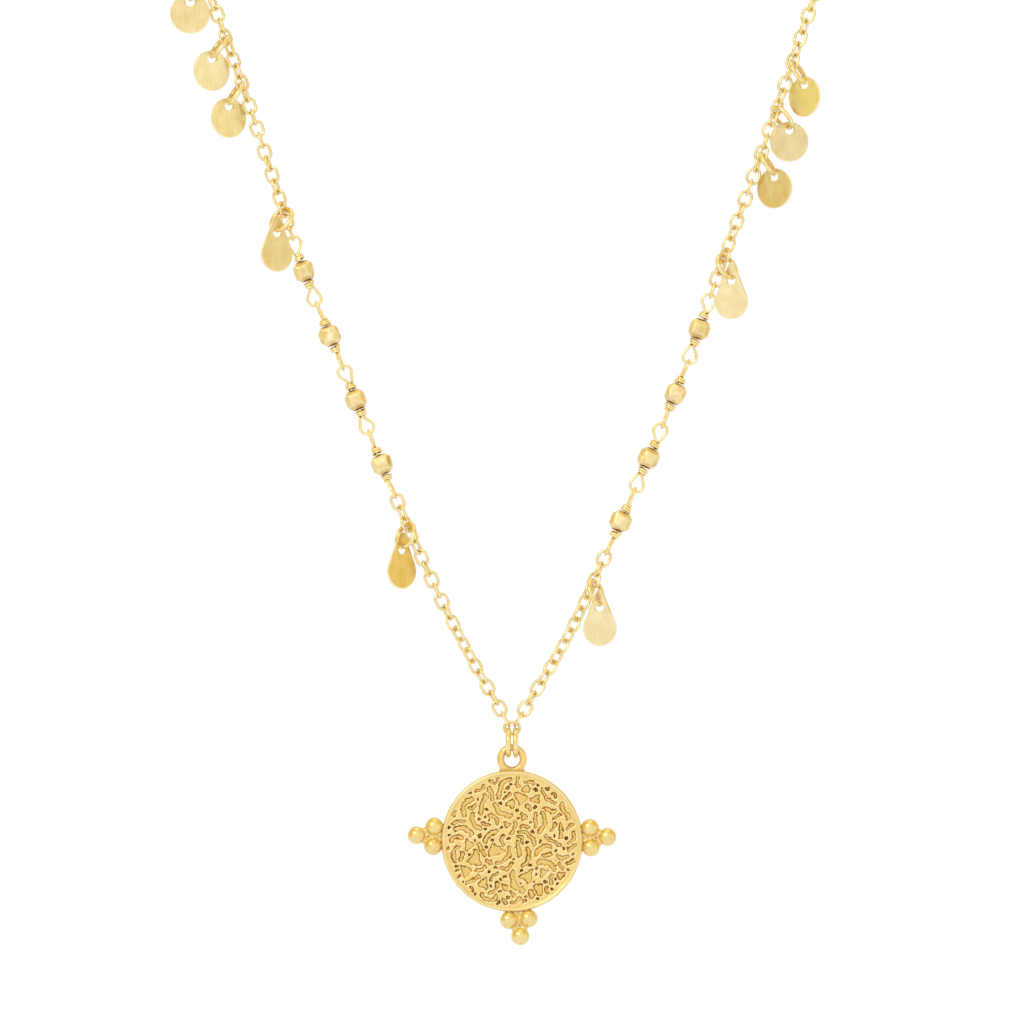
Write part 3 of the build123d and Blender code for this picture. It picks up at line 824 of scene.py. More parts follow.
def eye_and_collar(chance):
    """Half of a bead's wire, from the bead's middle out round the eye and back to the tail."""
    eye_radius = (eye_width - eye_wire) / 2
    eye_centre = eye_reach - eye_radius
    collar_start = bead_length / 2 + wrap_clearance
    stem = collar_start + collar_length - eye_wire / 2
    points = [(0, 0, 0), (collar_start, 0, 0), (stem - 0.2, 0, 0), (stem + 0.1, 0.02, 0)]
    sweep = math.pi / 2 + math.asin(eye_radius / (eye_centre - stem))
    for angle in np.linspace(sweep, -sweep, 15):
        place = eye_centre + eye_radius * math.cos(angle)
        points.append((place, eye_radius * math.sin(angle), eye_lift * angle / sweep))
    wrap_radius = (wrap_width - eye_wire) / 2
    turns = 2.1 + 0.3 * chance.random()
    drift = 0.65 + 0.3 * chance.random()
    swing = chance.uniform(0, 2 * math.pi)
    tail = bead_length / 2 + eye_wire / 2 + tail_gap
    for step in range(collar_steps + 1):
        share = step / collar_steps
        angle = -math.pi / 2 - 0.35 - 2 * math.pi * turns * share
        slack = 0.98 + 0.05 * math.sin(0.5 * angle + swing) + wrap_flare * share ** 3
        radius = wrap_radius * slack
        place = stem + (tail - stem) * share ** drift
        points.append((place, radius * math.sin(angle), radius * math.cos(angle)))
    return np.array(points, float)


print("half a wire's path:", len(eye_and_collar(random.Random(1))), "points")

# %% [markdown]
# Both halves are joined to one wire, and its two cut tips are filed a little. Two wires that
# meet inside the bead would do as well, for nobody sees them there, but on the real bead it is
# one. Deep between the coils the wire shades itself, and that shade is painted amber, as in the
# links.

# %% Wound wires
wire_sides = 10


def bead_wire_shape(seed):
    """Both halves of a bead's wire as one wire, and how deep in its collars each point is, as
    painted shade.
    """
    chance = random.Random(seed)
    right = eye_and_collar(chance)
    left = eye_and_collar(chance) * (-1, -1, 1)
    path = softened(np.concatenate([left[::-1], right[1:]]), 2)
    radii = np.full(len(path), eye_wire / 2)
    radii[[0, -1]] *= 0.55
    radii[[1, -2]] *= 0.85
    points, faces = wire_along(path, radii, wire_sides, False)
    # Painted shade deep between the coils of each collar.
    out = np.abs(points[:, 0])
    in_collar = smooth_step(out, 1.45, 1.6) * (1 - smooth_step(out, 2.65, 2.85))
    spread = np.hypot(points[:, 1], points[:, 2])
    deep = smooth_step(spread, 0.23, 0.30) * (1 - smooth_step(spread, 0.36, 0.62))
    return points, faces, 0.9 * in_collar * deep


bead_axes = {}
for side in ("left", "right"):
    for number in range(1, 5):
        node = f"wire_{side}_{number}"
        centre, along, _, facing = axes_of(loose_solids(node)[0])
        bead_axes[side, number] = (centre, along, facing)
        points, faces, recess = bead_wire_shape(10 * number + len(side))
        name = f"wound_wire_{side}_{number}"
        mesh = mesh_from(name, set_on(points, centre, along, facing), faces)
        set_attribute(mesh, "recess", recess)
        add_piece(name, mesh, polished_gold, "necklace", [node])
print("wound wires:", len(bead_axes), "with", len(faces), "faces each")

# %% [markdown]
# ## Nugget beads
#
# A nugget is a small block whose edges and corners were cut away before blasting, each a little
# off. It could be a cube with bevels, but then every bead has the same cuts and the same even
# edges. Looked at from its middle, its surface in each direction is the nearest of its cutting
# planes, so it is worked out from a list of planes. Taking that nearest distance softly, with a
# high power, rounds the edges, and the share of the second plane tells where an edge is.
#
# A surface is never quite even, either. The seeded noise below is a sum of plane waves, so it
# bends outlines and dents faces by the same amounts on every run.

# %% Cutting planes and dents
bead_width = 3.2    # The CAD beads are 3.0 mm wide, so that these keep their size when dented.
bead_facet = 0.76
corner_cut = 1.35
bead_hole = 0.9
edge_power = 26
extra_cuts = 10


def ripple(points, size, seed, waves=16):
    """Noise of about -1 to 1 over points, with features of about one size in millimetres."""
    points = np.asarray(points, float)
    chance = np.random.default_rng(seed)
    directions = unit(chance.normal(size=(waves, points.shape[1])))
    lengths = size * chance.uniform(0.7, 1.6, waves)
    phases = chance.uniform(0, 2 * math.pi, waves)
    total = np.zeros(len(points))
    for direction, length, phase in zip(directions, lengths, phases):
        total += np.sin(2 * math.pi * points @ direction / length + phase)
    return total / math.sqrt(waves)


def cutting_planes(chance):
    """Normals and distances of the faces of one nugget, each slightly off."""
    half = np.array([bead_length / 2, bead_width / 2, bead_width / 2])
    planes = []
    for way in itertools.product((-1, 0, 1), repeat=3):
        way = np.array(way, float)
        sides = int(abs(way).sum())
        if sides:
            cut = (0, bead_facet, corner_cut * bead_facet)[sides - 1]
            reach = (half @ abs(way) - cut) / math.sqrt(sides)
            tighter = chance.uniform(0.0, 0.03) if way[0] == 0 or sides > 1 else 0.0
            planes.append((way / math.sqrt(sides), reach * (1 - tighter)))
    for _ in range(extra_cuts):
        way = unit((chance.uniform(-0.7, 0.7), chance.gauss(0, 1), chance.gauss(0, 1)))
        corner = min(reach / max(way @ normal, 0.01) for normal, reach in planes)
        planes.append((way, corner * chance.uniform(0.93, 0.97)))
    return np.array([p[0] for p in planes]), np.array([p[1] for p in planes])


print("cutting planes of a nugget:", len(cutting_planes(random.Random(1))[0]))

# %% [markdown]
# A ball of directions would end in two poles. Here they run in rows from one end of the bore to
# the other, and rows inside the bore close the skin to a sleeve without a pole. The facets'
# painted reflections are random tones, shared out by how near each plane is, so that a tone
# changes softly over an edge. The ends are painted brown as shade, where the collars shade them.

# %% Nuggets
nugget_rows = 45
nugget_columns = 72


def bore_rows(around):
    """Rows of points through the bead's hole, from one end to the other."""
    circle = on_circle(bead_hole / 2, around)
    end = bead_length / 2 - 0.07
    places = (-end, -0.5, 0.5, end)
    return [np.column_stack([np.full(len(around), place), circle]) for place in places]


def nugget_shape(seed):
    """Points and faces of one drilled nugget, with its edge values, the reflections painted on its
    facets and its painted shade.
    """
    chance = random.Random(seed)
    normals, reaches = cutting_planes(chance)
    first = math.atan2(bead_hole / 2 + 0.06, bead_length / 2)
    polar = np.linspace(first, math.pi - first, nugget_rows)[:, None]
    around = once_round(nugget_columns)
    ways = np.stack([
        np.cos(polar) + 0 * around,
        np.sin(polar) * np.cos(around),
        np.sin(polar) * np.sin(around),
    ], axis=-1).reshape(-1, 3)
    terms = (np.maximum(ways @ normals.T, 0) / reaches) ** edge_power
    total = terms.sum(axis=1)
    skin = ways * (total ** (-1 / edge_power))[:, None]
    edge = np.clip(1.6 * (1 - terms.max(axis=1) / total) - 0.1, 0, 1)
    # A painted reflection for each facet, as if each mirrored another part of the room.
    facet_reflection_tones = np.array([chance.random() ** 2 for _ in reaches])
    facet = (terms / total[:, None]) @ facet_reflection_tones
    dents = 0.035 * np.clip(0.5 + 0.5 * ripple(skin, 0.9, seed), 0, 1)
    skin -= ways * (dents + 0.008 * np.abs(ripple(skin, 0.3, seed + 1)))[:, None]
    skin[:, 0] = np.clip(skin[:, 0], -bead_length / 2, bead_length / 2)
    spread = np.hypot(skin[:, 1], skin[:, 2])
    # Painted shade at both ends, under the collars, slanted a little at random.
    lean = skin[:, 1:] @ (chance.uniform(-0.16, 0.16), chance.uniform(-0.16, 0.16))
    end = smooth_step(np.abs(skin[:, 0]) + lean * np.sign(skin[:, 0]), 1.20, 1.30)
    recess = end * (1 - smooth_step(spread, 0.98, 1.10))
    bore = bore_rows(around)
    points = np.concatenate([skin, *bore])
    faces = grid_faces(nugget_rows + len(bore), nugget_columns, True, True)
    values = {"edge": edge * (1 - recess), "facet": facet, "recess": recess}
    # In the bore the painted shade is full, and there are no edges or painted reflections.
    for name, value in values.items():
        in_bore = float(name == "recess")
        values[name] = np.append(value, np.full(len(points) - len(skin), in_bore))
    return points, faces, values


for (side, number), place in bead_axes.items():
    points, faces, values = nugget_shape(7 * number + len(side))
    name = f"nugget_{side}_{number}"
    mesh = mesh_from(name, set_on(points, *place), faces)
    for label, value in values.items():
        set_attribute(mesh, label, value)
    add_piece(name, mesh, sandy_gold, "necklace", [f"bead_{side}_{number}"])
print("nuggets:", len(bead_axes), "with", len(faces), "faces each")

# %% [markdown]
# ## Brushed plates
#
# The drops are stamped from 0.35 mm sheet, six round ones and four teardrops, each with a hole
# for its ring. A flat shape with a Solidify modifier would have sharp edges and a face of many
# corners. Here an outline is drawn round the hole's centre instead: a circle, or two arcs and
# their tangents, with its points at even steps, so that rows of quads can fan out to it.

# %% Plate outlines
plate_thickness = 0.35
plate_hole = 1.4
disc_diameter = 6.0
disc_hole_edge = 1.2
teardrop_width = 5.2
teardrop_length = 8.5
teardrop_tip = 0.55
teardrop_hole_tip = 2.6


def disc_outline(count):
    """Outline of a disc about its hole's centre."""
    radius = disc_diameter / 2
    return on_circle(radius, once_round(count)) + (0, disc_hole_edge - radius)


def teardrop_outline(count):
    """Outline of a teardrop about its hole's centre: two arcs and their tangents."""
    tip = np.array((0, teardrop_hole_tip - teardrop_tip))
    large = teardrop_width / 2
    base = np.array((0, teardrop_hole_tip - teardrop_length + large))
    lean = math.asin((large - teardrop_tip) / (tip[1] - base[1]))
    upper = tip + on_circle(teardrop_tip, np.linspace(lean, math.pi - lean, 60))
    lower = base + on_circle(large, np.linspace(math.pi - lean, 2 * math.pi + lean, 160))
    line = np.concatenate([upper, lower, upper[:1]])
    return at_station(line, np.linspace(0, reach_along(line)[-1], count, endpoint=False))


plate_kinds = {
    "disc": (disc_outline(96), disc_hole_edge),
    "teardrop": (teardrop_outline(112), teardrop_hole_tip),
}
print("outlines:", {kind: len(outline) for kind, (outline, _) in plate_kinds.items()})

# %% [markdown]
# A stamped plate has a rolled-over edge all round and at its hole, and is never quite flat. A
# Bevel modifier could round it. But rows of points run from the hole to the outline in front and
# back again behind anyway, so the bend is only some rows more, and the whole skin is one sleeve
# of quads without a pole. Noise lowers its faces a little. Each plate is painted a little deeper
# or paler, as a painted reflection of how much light it catches. They hang upright, whichever way
# they face.

# %% Plates
plate_bevel = 0.07
plate_shares = (0.03, 0.12, 0.24, 0.36, 0.48, 0.60, 0.72, 0.84, 0.95)
# How pale each plate is painted, from 0 for deep gold to 1 for the palest, as a painted reflection
# of the light that it catches.
plate_painted_reflections = {
    "disc_left_1": 0.38,
    "disc_left_2": 0.85,
    "disc_left_3": 0.60,
    "disc_right_1": 1.00,
    "disc_right_2": 0.48,
    "disc_right_3": 0.35,
    "teardrop_left_upper": 0.40,
    "teardrop_left_lower": 0.05,
    "teardrop_right_upper": 0.62,
    "teardrop_right_lower": 0.65,
}


def plate_rows():
    """Rows round a plate's skin: share of the way from hole to outline, offset, height and edge."""
    half = plate_thickness / 2
    bend = []
    for angle in np.radians((0, 30, 60, 90)):
        inset = plate_bevel * (1 - math.cos(angle))
        bend.append((inset, half - plate_bevel + plate_bevel * math.sin(angle)))
    rows = [(0.0, inset, height, 1.0) for inset, height in bend]
    rows += [(share, 0.0, half, 0.0) for share in plate_shares]
    rows += [(1.0, -inset, height, 1.0) for inset, height in bend[::-1]]
    return rows + [(share, offset, -height, edge) for share, offset, height, edge in rows[::-1]]


def plate_shape(outline, seed):
    """Points, faces and edge values of a plate with its hole's centre at the origin."""
    hole = unit(outline) * plate_hole / 2
    span = np.linalg.norm(outline - hole, axis=1)
    layers = []
    edges = []
    for share, offset, height, edge in plate_rows():
        reach = (share * span + offset) / span
        place = hole + (outline - hole) * reach[:, None]
        dent = 0.010 * (1 + ripple(place, 2.2, seed)) + 0.004 * (1 + ripple(place, 0.7, seed + 1))
        dent = np.clip(dent, 0, 0.04) * (1 - 0.8 * edge)
        layers.append(np.column_stack([place, height - math.copysign(1, height) * dent]))
        edges.append(np.full(len(span), edge))
    faces = grid_faces(len(layers), len(outline), True, True)
    return np.concatenate(layers), faces, np.concatenate(edges)


def box_in_mm(node):
    """Lowest and highest corner of a CAD node."""
    low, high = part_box(node)
    return np.array(low) / MM, np.array(high) / MM


def plate_place(node, hole_below_top):
    """Where a plate's hole is and which way its face looks, from its CAD node."""
    low, high = box_in_mm(node)
    facing = axes_of(loose_solids(node)[0])[3] * (1, 1, 0)
    facing = unit(facing if facing[1] < 0 else -facing)
    hole = (low + high) / 2
    hole[2] = high[2] - hole_below_top
    return hole, np.cross((0, 0, 1), facing), facing


plate_nodes = sorted(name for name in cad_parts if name.split("_")[0] in plate_kinds)
for index, node in enumerate(plate_nodes):
    outline, hole_below_top = plate_kinds[node.split("_")[0]]
    points, faces, edge = plate_shape(outline, 30 + index)
    name = f"plate_{node}"
    mesh = mesh_from(name, set_on(points, *plate_place(node, hole_below_top)), faces)
    # The edge carries a painted highlight.
    set_attribute(mesh, "edge", edge)
    # The shade is a painted reflection for the whole plate.
    set_attribute(mesh, "shade", plate_painted_reflections[node])
    add_piece(name, mesh, brushed_gold, "necklace", [node])
print("plates:", len(plate_nodes), "with", len(faces), "faces for the last")

# %% [markdown]
# ## Medallion
#
# The disc is cast with sunk marks thrown all over its field: dots, bars, beans and wedges. They
# could be drawn by hand, but seeded chance throws them evenly and in no order. It is the same
# chance as in the CAD source, draw for draw, so each mark lies on its pocket there. A throw is
# kept only where it leaves its neighbours a wall of metal.

# %% The marks of the field
medallion_diameter = 21.2
rim_width = 0.45
mark_gap = 0.25
mark_margin = 0.32
largest_mark = 3.5
mark_seed = 23
throws_per_mark = 160

# Sunk marks in batches, the large ones first. Columns: kind, most of them, length and breadth.
mark_batches = [
    ("wedge", 8, 1.7, 0.50),
    ("bean", 16, 2.6, 0.66),
    ("bar", 8, 2.3, 0.62),
    ("wedge", 9, 1.0, 0.46),
    ("bean", 44, 1.5, 0.60),
    ("bar", 30, 1.0, 0.54),
    ("bean", 40, 0.8, 0.50),
    ("dot", 120, 0.0, 0.50),
]


def bean_arc(size, bend):
    """Radius and half angle of the arc that a bean follows."""
    radius = size ** 2 / (8 * abs(bend)) + abs(bend) / 2
    return radius, math.asin(size / 2 / radius)


def wedge_corners(size, bend):
    """Corners of the core of a wedge."""
    return [(-size / 2, -0.3 * size), (size / 2, -0.3 * size), (bend, 0.45 * size)]


def points_along(mark):
    """Points close together along the middle line of a mark, or round the core of a wedge."""
    kind, size, wide, bend, x, y, turn = mark
    if kind == "dot":
        local = [(0.0, 0.0)]
    elif kind == "bar":
        local = [(size * share, 0.0) for share in (0, -0.5, -0.25, 0.25, 0.5)]
    elif kind == "bean":
        radius, half = bean_arc(size, bend)
        side = math.copysign(1, bend)
        local = []
        for share in (0, -1, -0.66, -0.33, 0.33, 0.66, 1):
            angle = share * half
            local.append((radius * math.sin(angle), bend - side * radius * (1 - math.cos(angle))))
    else:
        corners = wedge_corners(size, bend)
        local = list(corners)
        for (ax, ay), (bx, by) in zip(corners, corners[1:] + corners[:1]):
            for share in (0.33, 0.67):
                local.append((ax + share * (bx - ax), ay + share * (by - ay)))
    cosine = math.cos(turn)
    sine = math.sin(turn)
    return [(x + a * cosine - b * sine, y + a * sine + b * cosine) for a, b in local]


def clear_of(points, wide, kept):
    """Whether a new mark leaves a wall between it and each mark that is kept."""
    for mark, others in kept:
        room = (wide + mark[2]) / 2 + mark_gap
        if math.dist(points[0], others[0]) < room + largest_mark:
            if min(math.dist(p, q) for p in points for q in others) < room:
                return False
    return True


def field_marks():
    """Each kept mark as its kind, length, breadth, bend, place and turn."""
    chance = random.Random(mark_seed)
    reach = medallion_diameter / 2 - rim_width - mark_margin
    kept = []
    for kind, count, length, breadth in mark_batches:
        missing = count
        for _ in range(throws_per_mark * count):
            size = length * chance.uniform(0.8, 1.2)
            wide = breadth * chance.uniform(0.8, 1.2)
            lean = chance.uniform(-1, 1)
            bend = math.copysign(size * (0.12 + 0.18 * abs(lean)), lean)
            away = reach * math.sqrt(chance.random())
            around = chance.uniform(0, 2 * math.pi)
            turn = chance.uniform(0, 2 * math.pi)
            x, y = away * math.cos(around), away * math.sin(around)
            mark = (kind, size, wide, bend, x, y, turn)
            points = points_along(mark)
            edge = max(math.hypot(*point) for point in points) + wide / 2
            if edge < reach and clear_of(points, wide, kept):
                kept.append((mark, points))
                missing -= 1
            if missing == 0:
                break
    return [mark for mark, points in kept]


marks = field_marks()
print("marks:", len(marks))

# %% [markdown]
# The marks could be cut out with Booleans, but that leaves long thin faces and hard edges. How
# far a point of the field is from the nearest mark's outline, less than nothing inside, gives
# everything at once: the depth, the soft wall, the dark line at the wall's foot and the bright
# lip, which is worn and partly a painted highlight. Noise in the place that is asked for, and in
# the outline itself, makes the marks crooked and uneven, as if each was cut into the wax by hand.

# %% Distance to the marks
far_away = 9.0


def turned(points, degrees):
    """Points turned about the origin."""
    cosine, sine = math.cos(math.radians(degrees)), math.sin(math.radians(degrees))
    return points @ np.array([[cosine, sine], [-sine, cosine]])


def to_wedge_core(points, corners):
    """Distance to a solid triangle, nothing or less inside."""
    corners = np.array(corners)
    nearest = np.full(len(points), far_away)
    inside = np.ones(len(points), bool)
    for start, end in zip(corners, np.roll(corners, -1, axis=0)):
        side = end - start
        away = points - start
        share = np.clip(away @ side / (side @ side), 0, 1)
        nearest = np.minimum(nearest, np.linalg.norm(away - share[:, None] * side, axis=1))
        inside &= side[0] * away[:, 1] - side[1] * away[:, 0] > 0
    return np.where(inside, -nearest, nearest)


def to_mark(points, mark):
    """Distance from points of the field to the outline of one mark."""
    kind, size, wide, bend, x, y, turn = mark
    local = turned(points - (x, y), -math.degrees(turn))
    if kind == "dot":
        return np.linalg.norm(local, axis=1) - wide / 2
    if kind == "bar":
        nearest = np.column_stack([np.clip(local[:, 0], -size / 2, size / 2), 0 * local[:, 0]])
        return np.linalg.norm(local - nearest, axis=1) - wide / 2
    if kind == "bean":
        radius, half = bean_arc(size, bend)
        side = math.copysign(1, bend)
        spoke = (local - (0, bend - side * radius)) * (1, side)
        angle = np.clip(np.arctan2(spoke[:, 0], spoke[:, 1]), -half, half)
        nearest = radius * np.stack([np.sin(angle), np.cos(angle)], axis=1)
        return np.linalg.norm(spoke - nearest, axis=1) - wide / 2
    return to_wedge_core(local, wedge_corners(size, bend)) - wide / 2


def to_marks(points, longest=far_away):
    """Distance to the nearest mark up to a length, with uneven outlines."""
    bent = points + 0.10 * np.stack([ripple(points, 1.5, 1), ripple(points, 1.5, 2)], axis=1)
    bent += 0.045 * np.stack([ripple(points, 0.55, 3), ripple(points, 0.55, 4)], axis=1)
    nearest = np.full(len(points), far_away)
    for mark in marks:
        if mark[1] <= longest:
            close = np.linalg.norm(bent - mark[4:6], axis=1) < mark[1] + 0.8
            nearest[close] = np.minimum(nearest[close], to_mark(bent[close], mark))
    return nearest - 0.035 + 0.05 * ripple(points, 0.6, 9)


field_middle = np.zeros((1, 2))
print("field's middle to a mark:", round(float(to_marks(field_middle)[0]), 2), "mm")

# %% [markdown]
# Rubbing is what makes the medallion look old. It leaves brown in the hollows and brightens the
# lips of the marks. Light from the upper left is painted in as well: the walls on the upper-left
# side of each mark face away from it and get a wider, darker brown line, as painted shadow, and
# the lips on the lower-right side face it and are brightest, as a painted highlight. Small marks
# fill up with brown, some more than others. All of it could be drawn in an image, but it follows
# from the distance to the marks, taken here and one small step towards the light.

# %% Height, wear and painted light of the field
medallion_thickness = 1.3
rim_height = 0.14
mark_depth = 0.22
small_mark = 0.75
field_radius = medallion_diameter / 2 - rim_width - rim_height
field_height = medallion_thickness / 2 - rim_height
# A small step towards the painted light, which comes from the upper left.
step_toward_light = np.array((-0.035, 0.035))


def bell(value, width):
    """1 at nothing, and softly down to nothing beyond a width on either side."""
    return np.exp(-(value / width) ** 2)


def field_surface(net):
    """Height of the field at points of it, its brown with some painted shadow, and its worn lips
    with a painted highlight.
    """
    distance = to_marks(net)
    from_rim = field_radius - np.linalg.norm(net, axis=1)
    sunk = 1 - smooth_step(distance, -0.13, 0.05)
    uneven = 0.012 * ripple(net, 2.0, 5) + 0.012 * ripple(net, 0.7, 6)
    uneven += 0.004 * ripple(net, 0.35, 10)
    floor_bow = 0.03 * smooth_step(-distance, 0.12, 0.35)
    depth = mark_depth - 0.02 - floor_bow
    height = field_height - depth * sunk + np.where(from_rim > 0.05, uneven, 0)
    # Painted light from the upper left: 1 on walls that face away from it, where the brown line is
    # painted wider and darker as shadow, 0 on walls that face it.
    shadow_side = smooth_step((to_marks(net + step_toward_light) - distance) / 0.05, -0.9, 0.9)
    line = bell(distance + 0.10, 0.055 + 0.03 * shadow_side)
    stain = smooth_step(ripple(net, 4.0, 7), -1.2, 1.2)
    in_small = 1 - smooth_step(to_marks(net, small_mark), -0.10, 0.02)
    in_small *= 0.15 + 0.45 * stain
    patina = line * (0.42 + 0.30 * stain + 0.30 * shadow_side) + 0.07 * sunk + in_small
    patina = np.maximum(np.clip(patina, 0, 1), 0.06 * bell(from_rim, 0.12))
    # The bright lip: worn, and a painted highlight that is weaker on the side away from the light.
    rubbed = (1 - 0.5 * shadow_side) * bell(distance - 0.085, 0.06)
    return height, np.column_stack([patina, rubbed])


print("field:", round(2 * field_radius, 2), "mm across, marks", mark_depth, "mm deep")

# %% [markdown]
# The face is a square net of points that is drawn into a circle. Rings round a middle point would
# crowd there and be coarse at the rim, but a net is even all over and has no pole. Its border
# runs on as rows over the rounded rim, down the side and across the plain back. Noise in the
# rim's reach keeps its outline from being a perfect circle.

# %% Disc of the medallion
field_steps = 260
rim_round = 0.35
rim_start = 9.0    # Rows beyond this radius follow the uneven outline.
back_patina = 0.04
bail_outer = 4.5
bail_rise = 12.3
disc_centre_height = box_in_mm("medallion")[1][2] - bail_rise - bail_outer / 2
front_depth = float(np.mean(box_in_mm("pendant_ring_left"), axis=0)[1])


def net_in_circle(steps, radius):
    """A square net of points drawn into a circle, with even steps along its border."""
    side = np.linspace(-1, 1, steps + 1)
    across, up = np.meshgrid(side, side)
    wide = np.abs(across) > np.abs(up)
    reach = np.where(wide, across, up)
    safe = np.where(reach == 0, 1, reach)
    quarter = math.pi / 4
    angle = np.where(wide, quarter * up / safe, math.pi / 2 - quarter * across / safe)
    points = np.stack([reach * np.cos(angle), reach * np.sin(angle)], axis=-1)
    return radius * points.reshape(-1, 2)


def border_of(steps):
    """Indices of the net's border points, once round."""
    row = steps + 1
    bottom = list(range(0, steps))
    right = [index * row + steps for index in range(0, steps)]
    top = [steps * row + steps - index for index in range(0, steps)]
    left = [(steps - index) * row for index in range(0, steps)]
    return bottom + right + top + left


def rim_rows():
    """Radius and height of the rows from the field's border over the rim to the back's middle."""
    radius, half = medallion_diameter / 2, medallion_thickness / 2
    inner = radius - rim_width
    rows = [(inner - 0.09, field_height + 0.02), (inner, field_height + 0.06)]
    rows += [(inner + 0.08, half - 0.03), (radius - rim_round, half)]
    bend = half - rim_round
    for level, degrees in ((bend, np.linspace(90, 0, 6)[1:]), (-bend, np.linspace(0, -90, 6))):
        for angle in np.radians(degrees):
            reach = radius - rim_round + rim_round * math.cos(angle)
            rows.append((reach, level + rim_round * math.sin(angle)))
    return rows + [(share * radius, -half) for share in (0.85, 0.62, 0.4, 0.2, 0.08, 0.01)]


def medallion_shape():
    """Points, faces, and the values of brown and bright lips of the disc, which hold some painted
    light.
    """
    net = net_in_circle(field_steps, field_radius)
    height, finish = field_surface(net)
    border = border_of(field_steps)
    angles = np.arctan2(net[border, 1], net[border, 0])
    wobble = 0.012 * (ripple(on_circle(10, angles), 3.0, 8) - 1.2)
    points = [np.column_stack([net, height])]
    values = [finish]
    for radius, level in rim_rows():
        reach = radius + (wobble if radius > rim_start else 0 * wobble)
        row = reach[:, None] * on_circle(1, angles)
        points.append(np.column_stack([row, np.full(len(angles), level)]))
        rubbed = 0.5 if radius > 10.1 and level > field_height else 0.0
        values.append(np.tile((back_patina, rubbed), (len(angles), 1)))
    points.append(np.array([[0.0, 0.0, -medallion_thickness / 2]]))
    values.append(np.array([[back_patina, 0.0]]))
    # The net, a band from its border to the first row, the rows, and a fan to the middle point.
    start, count, rows = len(net), len(border), len(rim_rows())
    after = [(index + 1) % count for index in range(count)]
    middle = start + rows * count
    last = middle - count
    faces = grid_faces(field_steps + 1, field_steps + 1, False, False)
    faces += [(border[i], border[j], start + j, start + i) for i, j in enumerate(after)]
    for face in grid_faces(rows, count, False, True):
        faces.append(tuple(start + index for index in face))
    faces += [(last + i, last + j, middle) for i, j in enumerate(after)]
    return np.concatenate(points), faces, np.concatenate(values)


def on_medallion(points):
    """From the medallion's own frame, facing along Z, to its place in the necklace."""
    x, y, z = np.asarray(points, float).T
    return np.stack([x, front_depth - z, disc_centre_height + y], axis=1)


points, faces, values = medallion_shape()
mesh = mesh_from("medallion_disc", on_medallion(points), faces)
set_attribute(mesh, "patina", values[:, 0])
set_attribute(mesh, "rubbed", values[:, 1])
add_piece("medallion_disc", mesh, antique_gold, "medallion", ["medallion"])
print("medallion disc:", len(faces), "faces")

# %% [markdown]
# The bail and the granules are soldered on. Solder runs into every corner and leaves a soft web
# there. A Boolean union would leave sharp corners instead, so the parts are put together roughly,
# skinned as one by a voxel remesh and smoothed a little, which makes just that web. Casting pits
# are pushed in along the normals afterwards, and hold some brown.

# %% Solder parts together
solder_voxel = 0.085


def joined(parts):
    """One list of points and one of faces from several."""
    points = []
    faces = []
    for some_points, some_faces in parts:
        start = sum(len(p) for p in points)
        points.append(np.asarray(some_points, float).reshape(-1, 3))
        faces += [tuple(start + index for index in face) for face in some_faces]
    return np.concatenate(points), faces


def soldered(name, parts, smoothing):
    """Points, normals and faces of one smooth skin over rough closed parts, in millimetres."""
    points, faces = joined(parts)
    holder = put(name, mesh_from(name, points / MM, faces))
    skin = holder.modifiers.new("skin", "REMESH")
    skin.mode = "VOXEL"
    skin.voxel_size = solder_voxel
    relax = holder.modifiers.new("relax", "SMOOTH")
    relax.factor = 0.5
    relax.iterations = smoothing
    mesh = kept_mesh(holder)
    points = np.array([v.co for v in mesh.vertices])
    normals = np.array([v.normal for v in mesh.vertices])
    faces = [tuple(face.vertices) for face in mesh.polygons]
    bpy.data.meshes.remove(mesh)
    return points, normals, faces


def add_soldered(name, skin, patina, rubbed, gloss):
    """Finish a soldered skin with pits and put it on the medallion."""
    points, normals, faces = skin
    pits = np.clip(ripple(points, 0.55, 21) - 0.9, 0, 1)
    pits += 0.5 * np.clip(ripple(points, 0.3, 22) - 1.0, 0, 1)
    points = points - normals * (0.03 * pits + 0.006 * (1 + ripple(points, 1.2, 23)))[:, None]
    mesh = mesh_from(name, on_medallion(points), faces)
    set_attribute(mesh, "patina", np.clip(patina + 0.25 * pits, 0, 1))
    set_attribute(mesh, "rubbed", rubbed)
    set_attribute(mesh, "gloss", gloss)
    add_piece(name, mesh, antique_gold, "medallion", ["medallion"])
    print(name, len(faces), "faces")


print("soldered skins are made in steps of", solder_voxel, "mm")

# %% [markdown]
# The bail is a thick round loop, and its foot is flared so that the solder has something to hold.
# The loop is a closed wire, as the rings are, and the foot a rough block under it. The remesh
# rounds the block, so it needs no detail of its own. Brown stays in the joint at the rim and,
# thinly, inside the loop.

# %% Bail
bail_wire = 1.1
bail_foot_width = 4.2
bail_foot_height = 9.75


